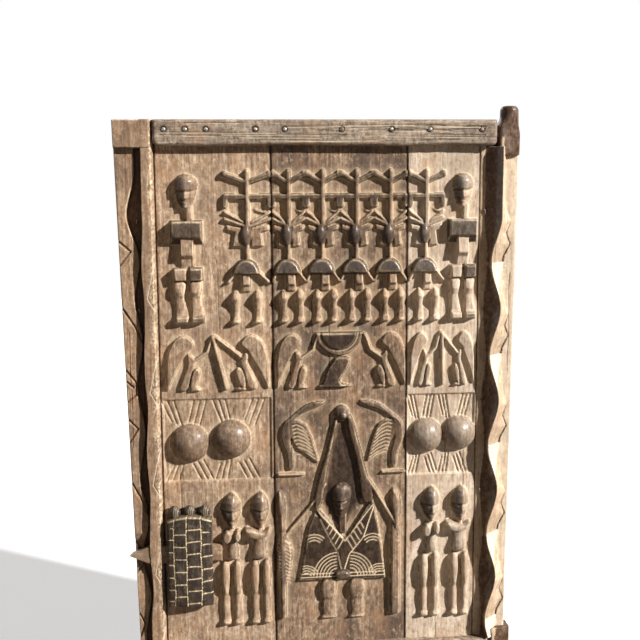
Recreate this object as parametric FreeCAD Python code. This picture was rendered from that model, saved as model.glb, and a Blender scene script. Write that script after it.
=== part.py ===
"""Carved plank door of a granary: three boards, two stiles, battens, irons and a wooden tumbler lock.

Millimetres. X runs to the right and Z up, and the carved side faces -Y. The boards are drawn with
their back at Y = 0, and every finished piece is then moved back so that the origin lies at the foot
of the right stile, on the axis of the two pintles that the door turns on.
"""
import FreeCAD, Part
import math
import os

# The leaf and its boards.
leaf_height = 1420.0
board_thickness = 36.0
seam_gap = 0.8
left_plank_width = 283.0
centre_plank_width = 340.0
right_plank_width = 184.0

# The stiles at the leaf's sides. Waves run along both of them.
left_stile_top_width = 97.0
left_stile_foot_width = 66.0
right_stile_top_width = 99.0
right_stile_foot_width = 84.0
waves_per_leaf = 6
steps_per_wave = 4
block_height = 68.0
block_rise = 22.0
flange_drop = 3.0
left_recess_drop = 13.0
left_strip_rise = 20.0
left_strip_width = 33.0
left_strip_bevel = 7.0
left_strip_wave = 5.0
right_ridge_rise = 30.0
right_wall_valley_inset = 13.0
right_wall_peak_inset = 22.0
right_crest_valley_inset = 51.0
right_crest_peak_inset = 25.0
right_facet_inset = 67.0
chip_height = 56.0
chip_above_peak = 22.0
chip_depth = 5.0

# The pintles, in one piece with the right stile.
pintle_radius = 24.0
pintle_shoulder = 2.0
upper_pintle_length = 34.0
lower_pintle_length = 40.0
pintle_end_round = 7.0

# The battens across the top and the foot.
batten_height = 65.0
batten_depth = 25.0
batten_edge_round = 13.0
batten_lap = 36.0
batten_corner = 14.0

# The irons.
nail_shank = 5.0
nail_length = 52.0
nail_head_width = 12.0
nail_head_height = 3.5
nail_head_taper = 2.5
stile_nail_shank = 4.0
stile_nail_depth = 20.0
stile_nail_stand = 6.0
stile_nail_hook = 15.0
staple_span = 46.0
staple_wire = 5.0
staple_leg_depth = 20.0
staples_per_joint = 4

# Relief on the boards: how far the carving stands out, and how its sides slope.
root_depth = 5.0
standing_rise = 22.0
dancer_rise = 20.0
mask_rise = 9.0
kneeling_rise = 8.0
couple_rise = 20.0
procession_rise = 11.0
side_slope = 2.5
arm_width = 9.0
dancer_head_width = 27.0
dancer_neck_width = 13.0
dancer_waist_width = 22.0
dancer_leg_width = 18.0
dancer_leg_spread = 43.0
pestle_width = 12.0
raised_arm_width = 19.0
staff_width = 11.0
bird_shift_share = 0.022
elbow_lap = 13.0
couple_margin = 10.0
breast_radius = 49.0
breast_rise = 26.0
small_breast_radius = 46.0
panel_recess = 4.0
groove_width = 3.5
groove_depth = 3.0
groove_pitch = 14.0

# The lock on the left board.
case_width = 113.0
case_height = 240.0
case_edge_depth = 34.0
case_middle_depth = 42.0
case_arch = 14.0
case_left_margin = 9.5
case_top_from_foot = 434.0
knob_width = 29.0
knob_height = 34.0
knob_rise = 26.0
knob_seat = 12.0
mortar_width = 2.6
mortar_depth = 2.0
brick_height = 32.5
bolt_length = 235.0
bolt_height = 46.0
bolt_thickness = 18.0
bolt_point = 51.0
bolt_point_height = 4.0
bolt_below_case_top = 106.0
bolt_overhang = 25.0
bolt_gap = 0.3
bolt_catch_travel = 22.0
pin_width = 6.0
pin_depth = 10.0
pin_shank = 42.0
pin_head_width = 11.0
pin_head_height = 7.0
pin_pitch = 36.0
pin_gap = 0.3
pin_count = 3
pin_lift = 12.0
pocket_depth = 11.0
lock_nail_shank = 5.0
lock_nail_bite = 20.0
lock_nail_margin = 16.0
keyway_width = 9.0
keyway_height = 8.0

# Overrun of every cutting tool past the surface that it cuts.
overrun = 4.0

# Faces and edges that follow from the sizes above.
front = -board_thickness
stile_inner = pintle_radius + pintle_shoulder - right_stile_top_width
right_plank_left = stile_inner - seam_gap - right_plank_width
centre_plank_left = right_plank_left - seam_gap - centre_plank_width
left_plank_left = centre_plank_left - seam_gap - left_plank_width
left_stile_inner = left_plank_left - seam_gap
flange_front = front + flange_drop
recess_front = front + left_recess_drop
pintle_y = (front - block_rise) / 2
field_foot = batten_height
field_top = leaf_height - batten_height
field_height = field_top - field_foot
block_foot = leaf_height - block_height

# Rows of carving, as shares of the field between the battens, from its foot.
figure_row_shares = (0.665, 0.950)
dancer_row_shares = (0.661, 0.953)
kneeling_row_shares = (0.530, 0.642)
breast_row_shares = (0.348, 0.514)
couple_row_shares = (0.046, 0.329)
procession_row_shares = (0.046, 0.513)

# Outlines of the carving. Each corner is a share of its box: across, then up.
head_shares = ((0.30, 1.00), (0.66, 1.00), (0.86, 0.80), (0.92, 0.50), (0.80, 0.18),
               (0.62, 0.00), (0.40, 0.00), (0.22, 0.18), (0.10, 0.50), (0.14, 0.80))
cap_shares = ((0.30, 1.00), (0.66, 1.00), (0.88, 0.80), (0.94, 0.50), (0.06, 0.50), (0.12, 0.80))
kneeling_lobe_shares = ((0.018, 0.012), (0.018, 0.444), (0.142, 0.877), (0.374, 0.993),
                        (0.560, 0.864), (0.438, 0.716), (0.296, 0.481), (0.104, 0.020))
kneeling_torso_shares = ((0.23, 0.01), (0.44, 0.49), (0.40, 0.62), (0.58, 0.56), (0.50, 0.30),
                         (0.43, 0.01))
kneeling_thigh_shares = ((0.46, 0.01), (0.50, 0.35), (0.60, 0.43), (0.67, 0.36), (0.60, 0.08),
                         (0.70, 0.01))
kneeling_arm_shares = ((0.54, 0.535), (0.80, 0.69), (0.93, 0.96))
bowl_shares = ((0.30, 1.00), (0.68, 1.00), (0.63, 0.75), (0.55, 0.60), (0.43, 0.60), (0.35, 0.75))
mortar_shares = ((0.46, 0.57), (0.58, 0.57), (0.53, 0.26), (0.49, 0.11), (0.60, 0.01), (0.30, 0.01),
                 (0.37, 0.11), (0.39, 0.33))
bird_body_shares = ((0.408, 0.984), (0.207, 0.951), (0.075, 0.883), (0.058, 0.830), (0.106, 0.724),
                    (0.106, 0.678), (0.150, 0.678), (0.146, 0.724), (0.131, 0.822), (0.150, 0.888),
                    (0.197, 0.913), (0.347, 0.956))
bird_wing_shares = ((0.150, 0.890), (0.216, 0.892), (0.277, 0.839), (0.312, 0.768), (0.346, 0.724),
                    (0.333, 0.708), (0.207, 0.748), (0.131, 0.801))
perch_shares = ((0.03, 0.650), (0.23, 0.650), (0.23, 0.667), (0.03, 0.667))
robe_shares = ((0.30, 0.53), (0.535, 0.37), (0.74, 0.56), (0.79, 0.50), (0.865, 0.195),
               (0.185, 0.195), (0.265, 0.50))
collar_shares = ((0.31, 0.525), (0.36, 0.525), (0.54, 0.398), (0.68, 0.53), (0.735, 0.56),
                 (0.665, 0.39), (0.555, 0.24), (0.515, 0.24), (0.42, 0.39))
club_shares = ((0.20, 0.95), (0.50, 1.00), (0.85, 0.92), (0.95, 0.60), (0.60, 0.00), (0.40, 0.00),
               (0.10, 0.60))
leaf_shares = ((0.30, 1.00), (0.80, 0.94), (1.00, 0.60), (0.80, 0.12), (0.45, 0.00), (0.08, 0.25),
               (0.02, 0.65))
mask_half_shares = ((0.11, 1.000), (0.11, 0.958), (0.98, 0.997), (1.03, 0.967), (0.11, 0.922),
                    (0.11, 0.855), (1.03, 0.858), (1.03, 0.778), (0.86, 0.778), (0.86, 0.828),
                    (0.11, 0.825), (0.11, 0.708), (0.97, 0.752), (1.02, 0.722), (0.11, 0.675),
                    (0.11, 0.650))
skirt_shares = ((0.00, 1.00), (1.00, 0.86), (1.00, 0.00), (0.30, 0.03), (0.42, 0.72), (0.00, 0.82))
leg_profile_shares = ((0.00, 0.00), (0.03, 1.00), (0.17, 0.92), (0.24, 0.42), (0.68, 1.00),
                      (0.78, 0.85), (1.00, 0.35))
body_profile_shares = ((0.00, 0.30), (0.22, 0.45), (0.50, 1.00), (0.70, 0.95), (1.00, 0.55))
chest_profile_shares = ((0.00, 0.15), (0.45, 1.00), (1.00, 0.90))
waist_profile_shares = ((0.00, 0.35), (0.30, 0.55), (0.42, 1.00), (1.00, 0.80))
hip_profile_shares = ((0.00, 0.35), (0.50, 1.00), (1.00, 0.85))

# Fans of grooves in the breast panels: where each starts along its edge, and how far it leans.
top_fan_shares = ((-0.01, 0.09), (0.28, -0.05), (0.455, 0.07), (0.81, -0.07))
foot_fan_shares = ((0.01, 0.07), (0.335, -0.07), (0.468, 0.05), (0.765, -0.07))
fan_reach_share = 0.24
fan_lines = 3

# Where the left stile's flange has its corners: share of the leaf's height, share of the recess.
left_flange_shares = ((0.000, 0.80), (0.065, 0.50), (0.142, 0.93), (0.220, 0.48), (0.297, 0.93),
                      (0.367, 0.46), (0.452, 0.93), (0.537, 0.46), (0.611, 0.95), (0.692, 0.54),
                      (0.757, 0.96), (0.837, 0.12), (0.911, 0.69), (1.000, 0.69))

# The bricks of the lock: where its columns part, and where the first level cut of each lies.
case_column_shares = (0.0, 0.165, 0.44, 0.757, 1.0)
first_level_shares = (0.89, 1.45, 1.05, 1.29)


def vector(x, y, z):
    return FreeCAD.Vector(x, y, z)


def ring(points):
    """Closed polygon through points in space."""
    corners = [vector(*point) for point in points]
    return Part.makePolygon(corners + corners[:1])


def loft(rings):
    """Flat-sided solid through rings that have as many corners."""
    return Part.makeLoft(rings, True, True)


def faceted(rings):
    """Solid of flat triangles through lists of points, for a form whose sides twist."""
    faces = [Part.Face(ring(rings[0])), Part.Face(ring(rings[-1]))]
    for low, high in zip(rings, rings[1:]):
        for index in range(len(low)):
            following = (index + 1) % len(low)
            faces.append(Part.Face(ring([low[index], low[following], high[following]])))
            faces.append(Part.Face(ring([low[index], high[following], high[index]])))
    return Part.Solid(Part.Shell(faces))


def plate(points, back, thickness):
    """Upright plate with an outline in X and Z, from its back face towards the viewer."""
    face = Part.Face(ring([(x, back, z) for x, z in points]))
    return face.extrude(vector(0, -thickness, 0))


def block(x_low, x_high, y_low, y_high, z_low, z_high):
    return Part.makeBox(x_high - x_low, y_high - y_low, z_high - z_low, vector(x_low, y_low, z_low))


def spread(box, shares):
    """Shares across and up a box, as places in X and Z."""
    left, right, foot, top = box
    return [(left + u * (right - left), foot + v * (top - foot)) for u, v in shares]


def inner_box(box, left_share, right_share, foot_share, top_share):
    (left, foot), (right, top) = spread(box, ((left_share, foot_share), (right_share, top_share)))
    return left, right, foot, top


def mirrored(shares, shift=0.0):
    return [(1 - u + shift, v) for u, v in reversed(shares)]


def inset(points, distance):
    """The outline moved in by a distance all round, with as many corners."""
    turns = 0
    for index, (x, z) in enumerate(points):
        last_x, last_z = points[index - 1]
        turns += last_x * z - x * last_z
    side = math.copysign(1, turns)
    moved = []
    for index, (x, z) in enumerate(points):
        last_x, last_z = points[index - 1]
        next_x, next_z = points[(index + 1) % len(points)]
        into = math.atan2(z - last_z, x - last_x)
        away = math.atan2(next_z - z, next_x - x)
        half = math.remainder(away - into, 2 * math.pi) / 2
        aim = into + half + side * math.pi / 2
        reach = distance / math.cos(half)
        moved.append((x + reach * math.cos(aim), z + reach * math.sin(aim)))
    return moved


def carve(points, rise, ground=front, rounded=False):
    """A raised form: its outline on the ground, drawn in towards its top."""
    levels = [(0, 0), (1, 1)]
    if rounded:
        levels = [(0, 0), (2 / 3, 1 / 2), (1, 2)]
    rings = [ring([(x, ground + root_depth, z) for x, z in points])]
    for rise_share, slope_share in levels:
        drawn = inset(points, side_slope * slope_share)
        rings.append(ring([(x, ground - rise * rise_share, z) for x, z in drawn]))
    return loft(rings)


def oval(box, sides=12):
    shares = []
    for index in range(sides):
        angle = 2 * math.pi * index / sides
        shares.append((0.5 + math.cos(angle) / 2, 0.5 + math.sin(angle) / 2))
    return spread(box, shares)


def half_disc(box, sides=8):
    """The upper half of an oval, on its flat foot."""
    shares = []
    for index in range(sides + 1):
        angle = math.pi * index / sides
        shares.append((0.5 + math.cos(angle) / 2, math.sin(angle)))
    return spread(box, shares)


def limb(start, end, width, rise, ground=front):
    """A straight raised bar between two places."""
    (start_x, start_z), (end_x, end_z) = start, end
    length = math.hypot(end_x - start_x, end_z - start_z)
    side_x = (end_z - start_z) / length * width / 2
    side_z = -(end_x - start_x) / length * width / 2
    corners = [(start_x - side_x, start_z - side_z), (start_x + side_x, start_z + side_z),
               (end_x + side_x, end_z + side_z), (end_x - side_x, end_z - side_z)]
    return carve(corners, rise, ground)


def path(box, shares, width, rise, ground=front):
    """Raised bars from each place to the next."""
    places = spread(box, shares)
    return [limb(places[index], places[index + 1], width, rise, ground)
            for index in range(len(places) - 1)]


def profiled(box, shares, rise, ground=front):
    """A body of one width whose front follows a side profile: share of height, share of rise."""
    left, right, foot, top = box
    corners = [(left, ground + root_depth, foot)]
    corners += [(left, ground - rise * out, foot + up * (top - foot)) for up, out in shares]
    corners.append((left, ground + root_depth, top))
    return Part.Face(ring(corners)).extrude(vector(right - left, 0, 0))


def row(board_box, row_shares, left_share=0.0, right_share=1.0):
    """Part of a board's width in one row of the carved field."""
    left, right = board_box
    low, high = row_shares
    width = right - left
    return (left + left_share * width, left + right_share * width,
            field_foot + low * field_height, field_foot + high * field_height)


def head(box, rise):
    """A head with a rounded cap of hair over the brow and a ridge for the nose."""
    face = carve(spread(box, head_shares), rise * 0.8, rounded=True)
    hair = carve(spread(inner_box(box, 0, 1, 0.04, 1), cap_shares), rise)
    nose = profiled(inner_box(box, 0.42, 0.60, 0.22, 0.55), ((0.00, 1.00), (1.00, 0.80)), rise)
    return [face, hair, nose]


def standing_figure(box):
    """A figure built of blocks: head, neck, square shoulders, waist, hips and bent legs."""
    solids = head(inner_box(box, 0.10, 0.86, 0.755, 1.00), standing_rise)
    solids.append(profiled(inner_box(box, 0.46, 0.70, 0.65, 0.78), ((0.0, 0.45), (1.0, 0.45)),
                           standing_rise))
    solids.append(profiled(inner_box(box, -0.02, 1.00, 0.535, 0.68), chest_profile_shares,
                           standing_rise))
    solids.append(profiled(inner_box(box, 0.30, 0.73, 0.36, 0.56), waist_profile_shares,
                           standing_rise * 0.9))
    for left_share, right_share in ((0.03, 0.50), (0.53, 1.00)):
        solids.append(profiled(inner_box(box, left_share, right_share, 0.285, 0.375),
                               hip_profile_shares, standing_rise * 0.9))
        solids.append(profiled(inner_box(box, left_share, right_share, 0.00, 0.29),
                               leg_profile_shares, standing_rise * 0.8))
    return solids


def mask(box, middle, reach):
    """The tall mask of a dancer: a post with three cross bars over the dancer's head."""
    shares = [(middle + reach * aside, level) for aside, level in mask_half_shares]
    shares += [(middle - reach * aside, level) for aside, level in reversed(mask_half_shares)]
    return carve(spread(box, shares), mask_rise)


def centred_box(box, middle, width, foot_share, top_share):
    """A box of a given width about a share of a wider one."""
    left, right, foot, top = inner_box(box, middle, middle, foot_share, top_share)
    return left - width / 2, right + width / 2, foot, top


def dancer(box, middle=0.5, reach=0.46):
    """A masked dancer with a domed cape, a narrow waist and bent legs."""
    solids = [mask(box, middle, reach)]
    solids.append(carve(oval(centred_box(box, middle, dancer_head_width, 0.51, 0.68), 10), mask_rise))
    left_skirt = inner_box(box, middle - reach * 0.95, middle - 0.10, 0.51, 0.66)
    right_skirt = inner_box(box, middle + 0.10, middle + reach * 0.95, 0.51, 0.66)
    solids.append(carve(spread(left_skirt, skirt_shares), mask_rise * 0.7))
    solids.append(carve(spread(right_skirt, mirrored(skirt_shares)), mask_rise * 0.7))
    solids += path(box, ((middle, 0.53), (middle, 0.41)), dancer_neck_width, mask_rise)
    cape = inner_box(box, middle - reach * 0.95, middle + reach * 0.85, 0.328, 0.431)
    solids.append(carve(half_disc(cape), dancer_rise, rounded=True))
    for side in (-1, 1):
        solids += path(box, ((middle + side * reach * 0.5, 0.35), (middle + side * reach, 0.275)),
                       arm_width, dancer_rise * 0.5)
        left, right, foot, top = centred_box(box, middle, dancer_leg_width, 0.00, 0.235)
        step = side * dancer_leg_spread / 2
        solids.append(profiled((left + step, right + step, foot, top), leg_profile_shares,
                               dancer_rise * 0.8))
    solids.append(profiled(centred_box(box, middle, dancer_waist_width, 0.23, 0.345),
                           body_profile_shares, dancer_rise * 0.8))
    return solids


def kneeling_figure(box, facing_right=True):
    """A kneeling figure under a long cape of hair, with one arm raised."""
    def turned(shares):
        return shares if facing_right else mirrored(shares)

    return [carve(spread(box, turned(kneeling_lobe_shares)), kneeling_rise),
            carve(spread(box, turned(kneeling_torso_shares)), kneeling_rise * 0.9),
            carve(spread(box, turned(kneeling_thigh_shares)), kneeling_rise * 0.75)
            ] + path(box, turned(kneeling_arm_shares), arm_width, kneeling_rise)


def kneeling_pair(box):
    """Two kneeling figures face to face with a pestle between them."""
    solids = kneeling_figure(inner_box(box, 0.00, 0.50, 0, 1), True)
    solids += kneeling_figure(inner_box(box, 0.50, 1.00, 0, 1), False)
    solids += path(box, ((0.46, 0.95), (0.575, 0.05)), pestle_width, kneeling_rise)
    return solids


def bowl_bearers(box):
    """Two kneeling figures who hold a bowl over a mortar."""
    solids = kneeling_figure(inner_box(box, 0.00, 0.36, 0, 1), True)
    solids += kneeling_figure(inner_box(box, 0.66, 1.02, 0, 1), False)
    solids.append(carve(spread(box, bowl_shares), kneeling_rise * 1.5))
    solids.append(carve(spread(box, mortar_shares), kneeling_rise * 1.3))
    return solids


def couple_figure(box, is_woman):
    """A standing figure of a couple: she has breasts, and the other holds an arm across."""
    solids = head(inner_box(box, 0.10, 0.90, 0.73, 0.99), couple_rise)
    if is_woman:
        for left_share in (0.04, 0.52):
            breast = inner_box(box, left_share, left_share + 0.44, 0.63, 0.735)
            solids.append(carve(oval(breast, 10), couple_rise * 0.8, rounded=True))
    else:
        solids += path(box, ((-0.10, 0.70), (0.30, 0.64), (0.80, 0.67)), pestle_width, couple_rise * 0.7)
    solids.append(profiled(inner_box(box, 0.28, 0.78, 0.43, 0.75), body_profile_shares,
                           couple_rise * 0.8))
    for left_share, right_share in ((0.08, 0.48), (0.54, 0.94)):
        solids.append(profiled(inner_box(box, left_share, right_share, 0.00, 0.47),
                               leg_profile_shares, couple_rise * 0.8))
    return solids


def procession(box):
    """The tall robed figure with joined raised hands, two birds and two side figures."""
    solids = []
    for shares, rise in ((bird_body_shares, procession_rise), (bird_wing_shares, procession_rise * 0.8),
                         (perch_shares, procession_rise * 0.6)):
        solids.append(carve(spread(box, shares), rise))
        solids.append(carve(spread(box, mirrored(shares, bird_shift_share)), rise))
    solids += path(box, ((0.498, 0.943), (0.350, 0.669), (0.335, 0.530)), raised_arm_width,
                   procession_rise)
    solids += path(box, ((0.545, 0.943), (0.681, 0.658), (0.722, 0.545)), raised_arm_width,
                   procession_rise)
    solids.append(carve(oval(inner_box(box, 0.460, 0.565, 0.900, 0.970)), procession_rise * 1.5,
                        rounded=True))
    solids.append(carve(spread(box, robe_shares), procession_rise * 0.8))
    solids += head(inner_box(box, 0.430, 0.590, 0.461, 0.625), procession_rise * 1.8)
    solids.append(carve(spread(box, collar_shares), procession_rise * 1.15))
    solids += path(box, ((0.376, 0.609), (0.090, 0.400)), staff_width, procession_rise * 0.9)
    solids += path(box, ((0.667, 0.669), (0.930, 0.440)), staff_width, procession_rise * 0.9)
    for left_share, right_share in ((0.010, 0.108), (0.870, 0.975)):
        club = inner_box(box, left_share, right_share, 0.40, 0.592)
        solids.append(carve(spread(club, club_shares), procession_rise))
    solids.append(carve(spread(inner_box(box, 0.010, 0.145, 0.175, 0.400), leaf_shares),
                        procession_rise))
    for left_share, right_share in ((0.035, 0.085), (0.875, 0.945)):
        shaft = inner_box(box, left_share, right_share, 0.02, 0.44)
        solids.append(profiled(shaft, ((0.0, 0.8), (0.3, 1.0), (1.0, 0.5)), procession_rise))
    for left_share, right_share in ((0.34, 0.47), (0.56, 0.69)):
        solids.append(profiled(inner_box(box, left_share, right_share, 0.01, 0.22),
                               leg_profile_shares, procession_rise))
    return solids


def breast_panel(box, radius, places):
    """What is cut and what stands in a panel of breasts between fans of grooves."""
    left, right, foot, top = box
    ground = front + panel_recess
    cuts = [block(left, right, front - overrun, ground, foot, top)]
    for fans, edge_share, end_share in ((top_fan_shares, 1.0, 1.0 - fan_reach_share),
                                        (foot_fan_shares, 0.0, fan_reach_share)):
        for start_share, lean_share in fans:
            for line in range(fan_lines):
                shift = line * groove_pitch / (right - left)
                ends = spread(box, ((start_share + shift, edge_share),
                                    (start_share + lean_share + shift, end_share)))
                cuts.append(groove(*ends, box, ground))
    domes = []
    for place in places:
        x, z = spread(box, (place,))[0]
        domes.append(dome(x, z, radius, ground))
    return cuts, domes


def dome(x, z, radius, ground, sides=16, levels=4):
    """A round swelling with a small flat at its crown."""
    rings = []
    for level in range(-1, levels + 1):
        lift = max(level, 0) / levels * math.radians(80)
        depth = ground - breast_rise * math.sin(lift) if level >= 0 else ground + root_depth
        reach = radius * math.cos(lift)
        angles = [2 * math.pi * index / sides for index in range(sides)]
        rings.append([(x + reach * math.cos(angle), depth, z + reach * math.sin(angle))
                      for angle in angles])
    return faceted(rings)


def groove(start, end, box, ground):
    """A straight cut in the ground of a panel, kept inside the panel."""
    left, right, foot, top = box
    (start_x, start_z), (end_x, end_z) = start, end
    corners = [(start_x - groove_width / 2, start_z), (start_x + groove_width / 2, start_z),
               (end_x + groove_width / 2, end_z), (end_x - groove_width / 2, end_z)]
    cut = plate(corners, ground + groove_depth, groove_depth + overrun)
    return cut.common(block(left, right, front - overrun, ground + groove_depth, foot, top))


def carved_board(left, right, cuts, solids):
    """A board with its panels cut and its carving raised, all within its own width."""
    deep = 2 * standing_rise
    plank = block(left, right, front, 0, 0, leaf_height)
    if cuts:
        plank = plank.cut(cuts)
    plank = plank.multiFuse(solids)
    return plank.common(block(left, right, front - deep, 0, 0, leaf_height)).removeSplitter()


def left_plank():
    """The left board: a standing figure, a dancer, kneelers, breasts and a couple."""
    across = (left_plank_left, left_plank_left + left_plank_width)
    solids = standing_figure(row(across, figure_row_shares, 0.135, 0.405))
    solids += dancer(row(across, dancer_row_shares, 0.55, 0.995), 0.55)
    solids += kneeling_pair(row(across, kneeling_row_shares, 0.05, 0.975))
    low, high = row(across, couple_row_shares)[2:]
    couple_box = (bolt_right - elbow_lap, across[1] - couple_margin, low, high)
    solids += couple_figure(inner_box(couple_box, 0.00, 0.46, 0, 1), True)
    solids += couple_figure(inner_box(couple_box, 0.55, 1.00, 0, 1), False)
    cuts, domes = breast_panel(row(across, breast_row_shares, 0.02, 0.985), breast_radius,
                               ((0.235, 0.47), (0.62, 0.51)))
    return carved_board(*across, cuts, solids + domes)


def centre_plank():
    """The centre board: four dancers, the bowl bearers and the procession."""
    across = (centre_plank_left, centre_plank_left + centre_plank_width)
    solids = []
    dancers = 4
    for index in range(dancers):
        solids += dancer(row(across, dancer_row_shares, (index + 0.01) / dancers,
                             (index + 0.99) / dancers))
    solids += bowl_bearers(row(across, kneeling_row_shares, 0.015, 0.985))
    solids += procession(row(across, procession_row_shares))
    return carved_board(*across, [], solids)


def right_plank():
    """The right board, which mirrors the order of the left one."""
    across = (right_plank_left, right_plank_left + right_plank_width)
    solids = dancer(row(across, dancer_row_shares, 0.01, 0.49), 0.52)
    solids += standing_figure(row(across, figure_row_shares, 0.57, 0.96))
    solids += kneeling_pair(row(across, kneeling_row_shares, 0.03, 0.97))
    solids += couple_figure(row(across, couple_row_shares, 0.16, 0.50), True)
    solids += couple_figure(row(across, couple_row_shares, 0.60, 0.93), False)
    cuts, domes = breast_panel(row(across, breast_row_shares, 0.02, 0.98), small_breast_radius,
                               ((0.27, 0.49), (0.76, 0.51)))
    return carved_board(*across, cuts, solids + domes)


def wave(height):
    """Where a height lies in the stiles' waves: 0 in a valley, 1 on a peak, and 0 above the last."""
    pitch = leaf_height / waves_per_leaf
    if height > leaf_height - pitch:
        return 0
    return (1 - math.cos(2 * math.pi * height / pitch)) / 2


def wave_heights():
    """Heights of the sections that follow the waves, and of the leaf's two ends."""
    count = (waves_per_leaf - 1) * steps_per_wave
    step = leaf_height / waves_per_leaf / steps_per_wave
    return [step * index for index in range(count + 1)] + [leaf_height]


def widened(foot_width, top_width, height):
    return foot_width + (top_width - foot_width) * height / leaf_height


def left_stile_outer(height):
    return left_stile_inner - widened(left_stile_foot_width, left_stile_top_width, height)


def right_stile_outer(height):
    return stile_inner + widened(right_stile_foot_width, right_stile_top_width, height)


def strip_edge(height):
    """The wavy edge of the left stile's strip, over the recess."""
    return left_stile_inner - left_strip_width - left_strip_wave * wave(height)


def left_stile():
    """The closing stile: a high strip beside the board, a recess, and a low wavy flange."""
    crest = front - left_strip_rise
    bevel = left_stile_inner - left_strip_bevel
    base = plate([(left_stile_inner, 0), (left_stile_inner, leaf_height),
                  (left_stile_outer(leaf_height), leaf_height), (left_stile_outer(0), 0)],
                 0, -recess_front)
    rings = []
    for height in wave_heights():
        edge = strip_edge(height)
        rings.append(ring([(left_stile_inner, recess_front + root_depth, height),
                           (left_stile_inner, front, height), (bevel, crest, height),
                           (edge, crest, height), (edge - side_slope, recess_front, height),
                           (edge - side_slope, recess_front + root_depth, height)]))
    outline = [(left_stile_outer(leaf_height), leaf_height), (left_stile_outer(0), 0)]
    for height_share, reach_share in left_flange_shares:
        height = height_share * leaf_height
        outer = left_stile_outer(height)
        outline.append((outer + reach_share * (strip_edge(height) - outer), height))
    flange = carve(outline, recess_front - flange_front, recess_front)
    cap = block(left_stile_outer(leaf_height), bevel, front - block_rise, 0, block_foot, leaf_height)
    foot = block(left_stile_outer(0), bevel, front - block_rise, 0, 0, block_height)
    whole = base.multiFuse([loft(rings), flange, cap, foot])
    return whole.cut(bolt_channel()).removeSplitter()


def right_stile():
    """The pivot stile: a high scalloped ridge, a flange, and a pintle at each end."""
    base = plate([(stile_inner, 0), (stile_inner, leaf_height),
                  (right_stile_outer(leaf_height), leaf_height), (right_stile_outer(0), 0)],
                 0, -flange_front)
    facet_foot = stile_inner + right_facet_inset
    rings = []
    for height in wave_heights():
        share = wave(height)
        wall = right_wall_valley_inset + share * (right_wall_peak_inset - right_wall_valley_inset)
        crest = right_crest_valley_inset + share * (right_crest_peak_inset
                                                    - right_crest_valley_inset)
        rings.append([(stile_inner, flange_front + root_depth, height),
                      (stile_inner, front, height), (stile_inner + wall, front, height),
                      (stile_inner + crest, front - right_ridge_rise, height),
                      (facet_foot, flange_front, height),
                      (facet_foot, flange_front + root_depth, height)])
    ends = [faceted(rings)]
    cap_left = stile_inner + batten_lap + seam_gap
    for low in (0, block_foot):
        ends.append(block(cap_left, pintle_radius + pintle_shoulder, front - block_rise, 0,
                          low, low + block_height))
    ends.append(pintle(leaf_height, upper_pintle_length, 1))
    ends.append(pintle(0, lower_pintle_length, -1))
    cuts = []
    for low in (0, field_top):
        cuts.append(block(stile_inner - overrun, cap_left, front - 2 * right_ridge_rise,
                          front, low, low + batten_height))
    pitch = leaf_height / waves_per_leaf
    for index in range(waves_per_leaf - 1):
        top = pitch * (index + 0.5) + chip_above_peak
        corners = [(facet_foot, top), (right_stile_outer(top), top - chip_height / 2),
                   (facet_foot, top - chip_height)]
        cuts.append(plate(corners, flange_front + chip_depth, chip_depth + overrun))
    return base.multiFuse(ends).cut(cuts).removeSplitter()


def pintle(height, length, way):
    """A round pintle with a rounded end, upward or downward from a stile's end."""
    profile = [(0, -overrun), (pintle_radius, -overrun), (pintle_radius, length - pintle_end_round),
               (pintle_radius - pintle_end_round / 3, length - pintle_end_round / 3),
               (pintle_radius - pintle_end_round, length), (0, length)]
    face = Part.Face(ring([(radius, pintle_y, height + way * along) for radius, along in profile]))
    return face.revolve(vector(0, pintle_y, 0), vector(0, 0, 1), 360)


def batten(foot):
    """A batten with a flat back, a rounded face and rounded ends."""
    left = left_stile_inner
    right = stile_inner + batten_lap
    round_off = batten_edge_round / 3
    profile = [(front, foot), (front, foot + batten_height),
               (front - batten_depth + batten_edge_round, foot + batten_height),
               (front - batten_depth + round_off, foot + batten_height - round_off),
               (front - batten_depth, foot + batten_height - batten_edge_round),
               (front - batten_depth, foot + batten_edge_round),
               (front - batten_depth + round_off, foot + round_off),
               (front - batten_depth + batten_edge_round, foot)]
    bar = Part.Face(ring([(left, y, z) for y, z in profile])).extrude(vector(right - left, 0, 0))
    outline = [(left, foot + batten_corner), (left + batten_corner, foot),
               (right - batten_corner, foot), (right, foot + batten_corner),
               (right, foot + batten_height), (left, foot + batten_height)]
    return bar.common(plate(outline, front, batten_depth))


# Places of the nails along each batten, as shares of its length from its left end.
batten_nail_shares = (0.033, 0.093, 0.152, 0.293, 0.377, 0.541, 0.686, 0.800, 0.953)
batten_nail_height_share = 0.62


def square_nail(x, y, z):
    """A hand-made nail driven from the front: a square shank under a hammered head."""
    half_shank = nail_shank / 2
    shank = block(x - half_shank, x + half_shank, y, y + nail_length, z - half_shank, z + half_shank)
    half = nail_head_width / 2
    small = half - nail_head_taper
    rings = []
    for reach, depth in ((half, y), (half, y - nail_head_height / 2), (small, y - nail_head_height)):
        rings.append(ring([(x - reach, depth, z - reach), (x + reach, depth, z - reach),
                           (x + reach, depth, z + reach), (x - reach, depth, z + reach)]))
    return shank.fuse(loft(rings)).removeSplitter()


def batten_nails(foot):
    length = stile_inner + batten_lap - left_stile_inner
    height = foot + batten_height * batten_nail_height_share
    return [square_nail(left_stile_inner + length * share, front - batten_depth, height)
            for share in batten_nail_shares]


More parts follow.
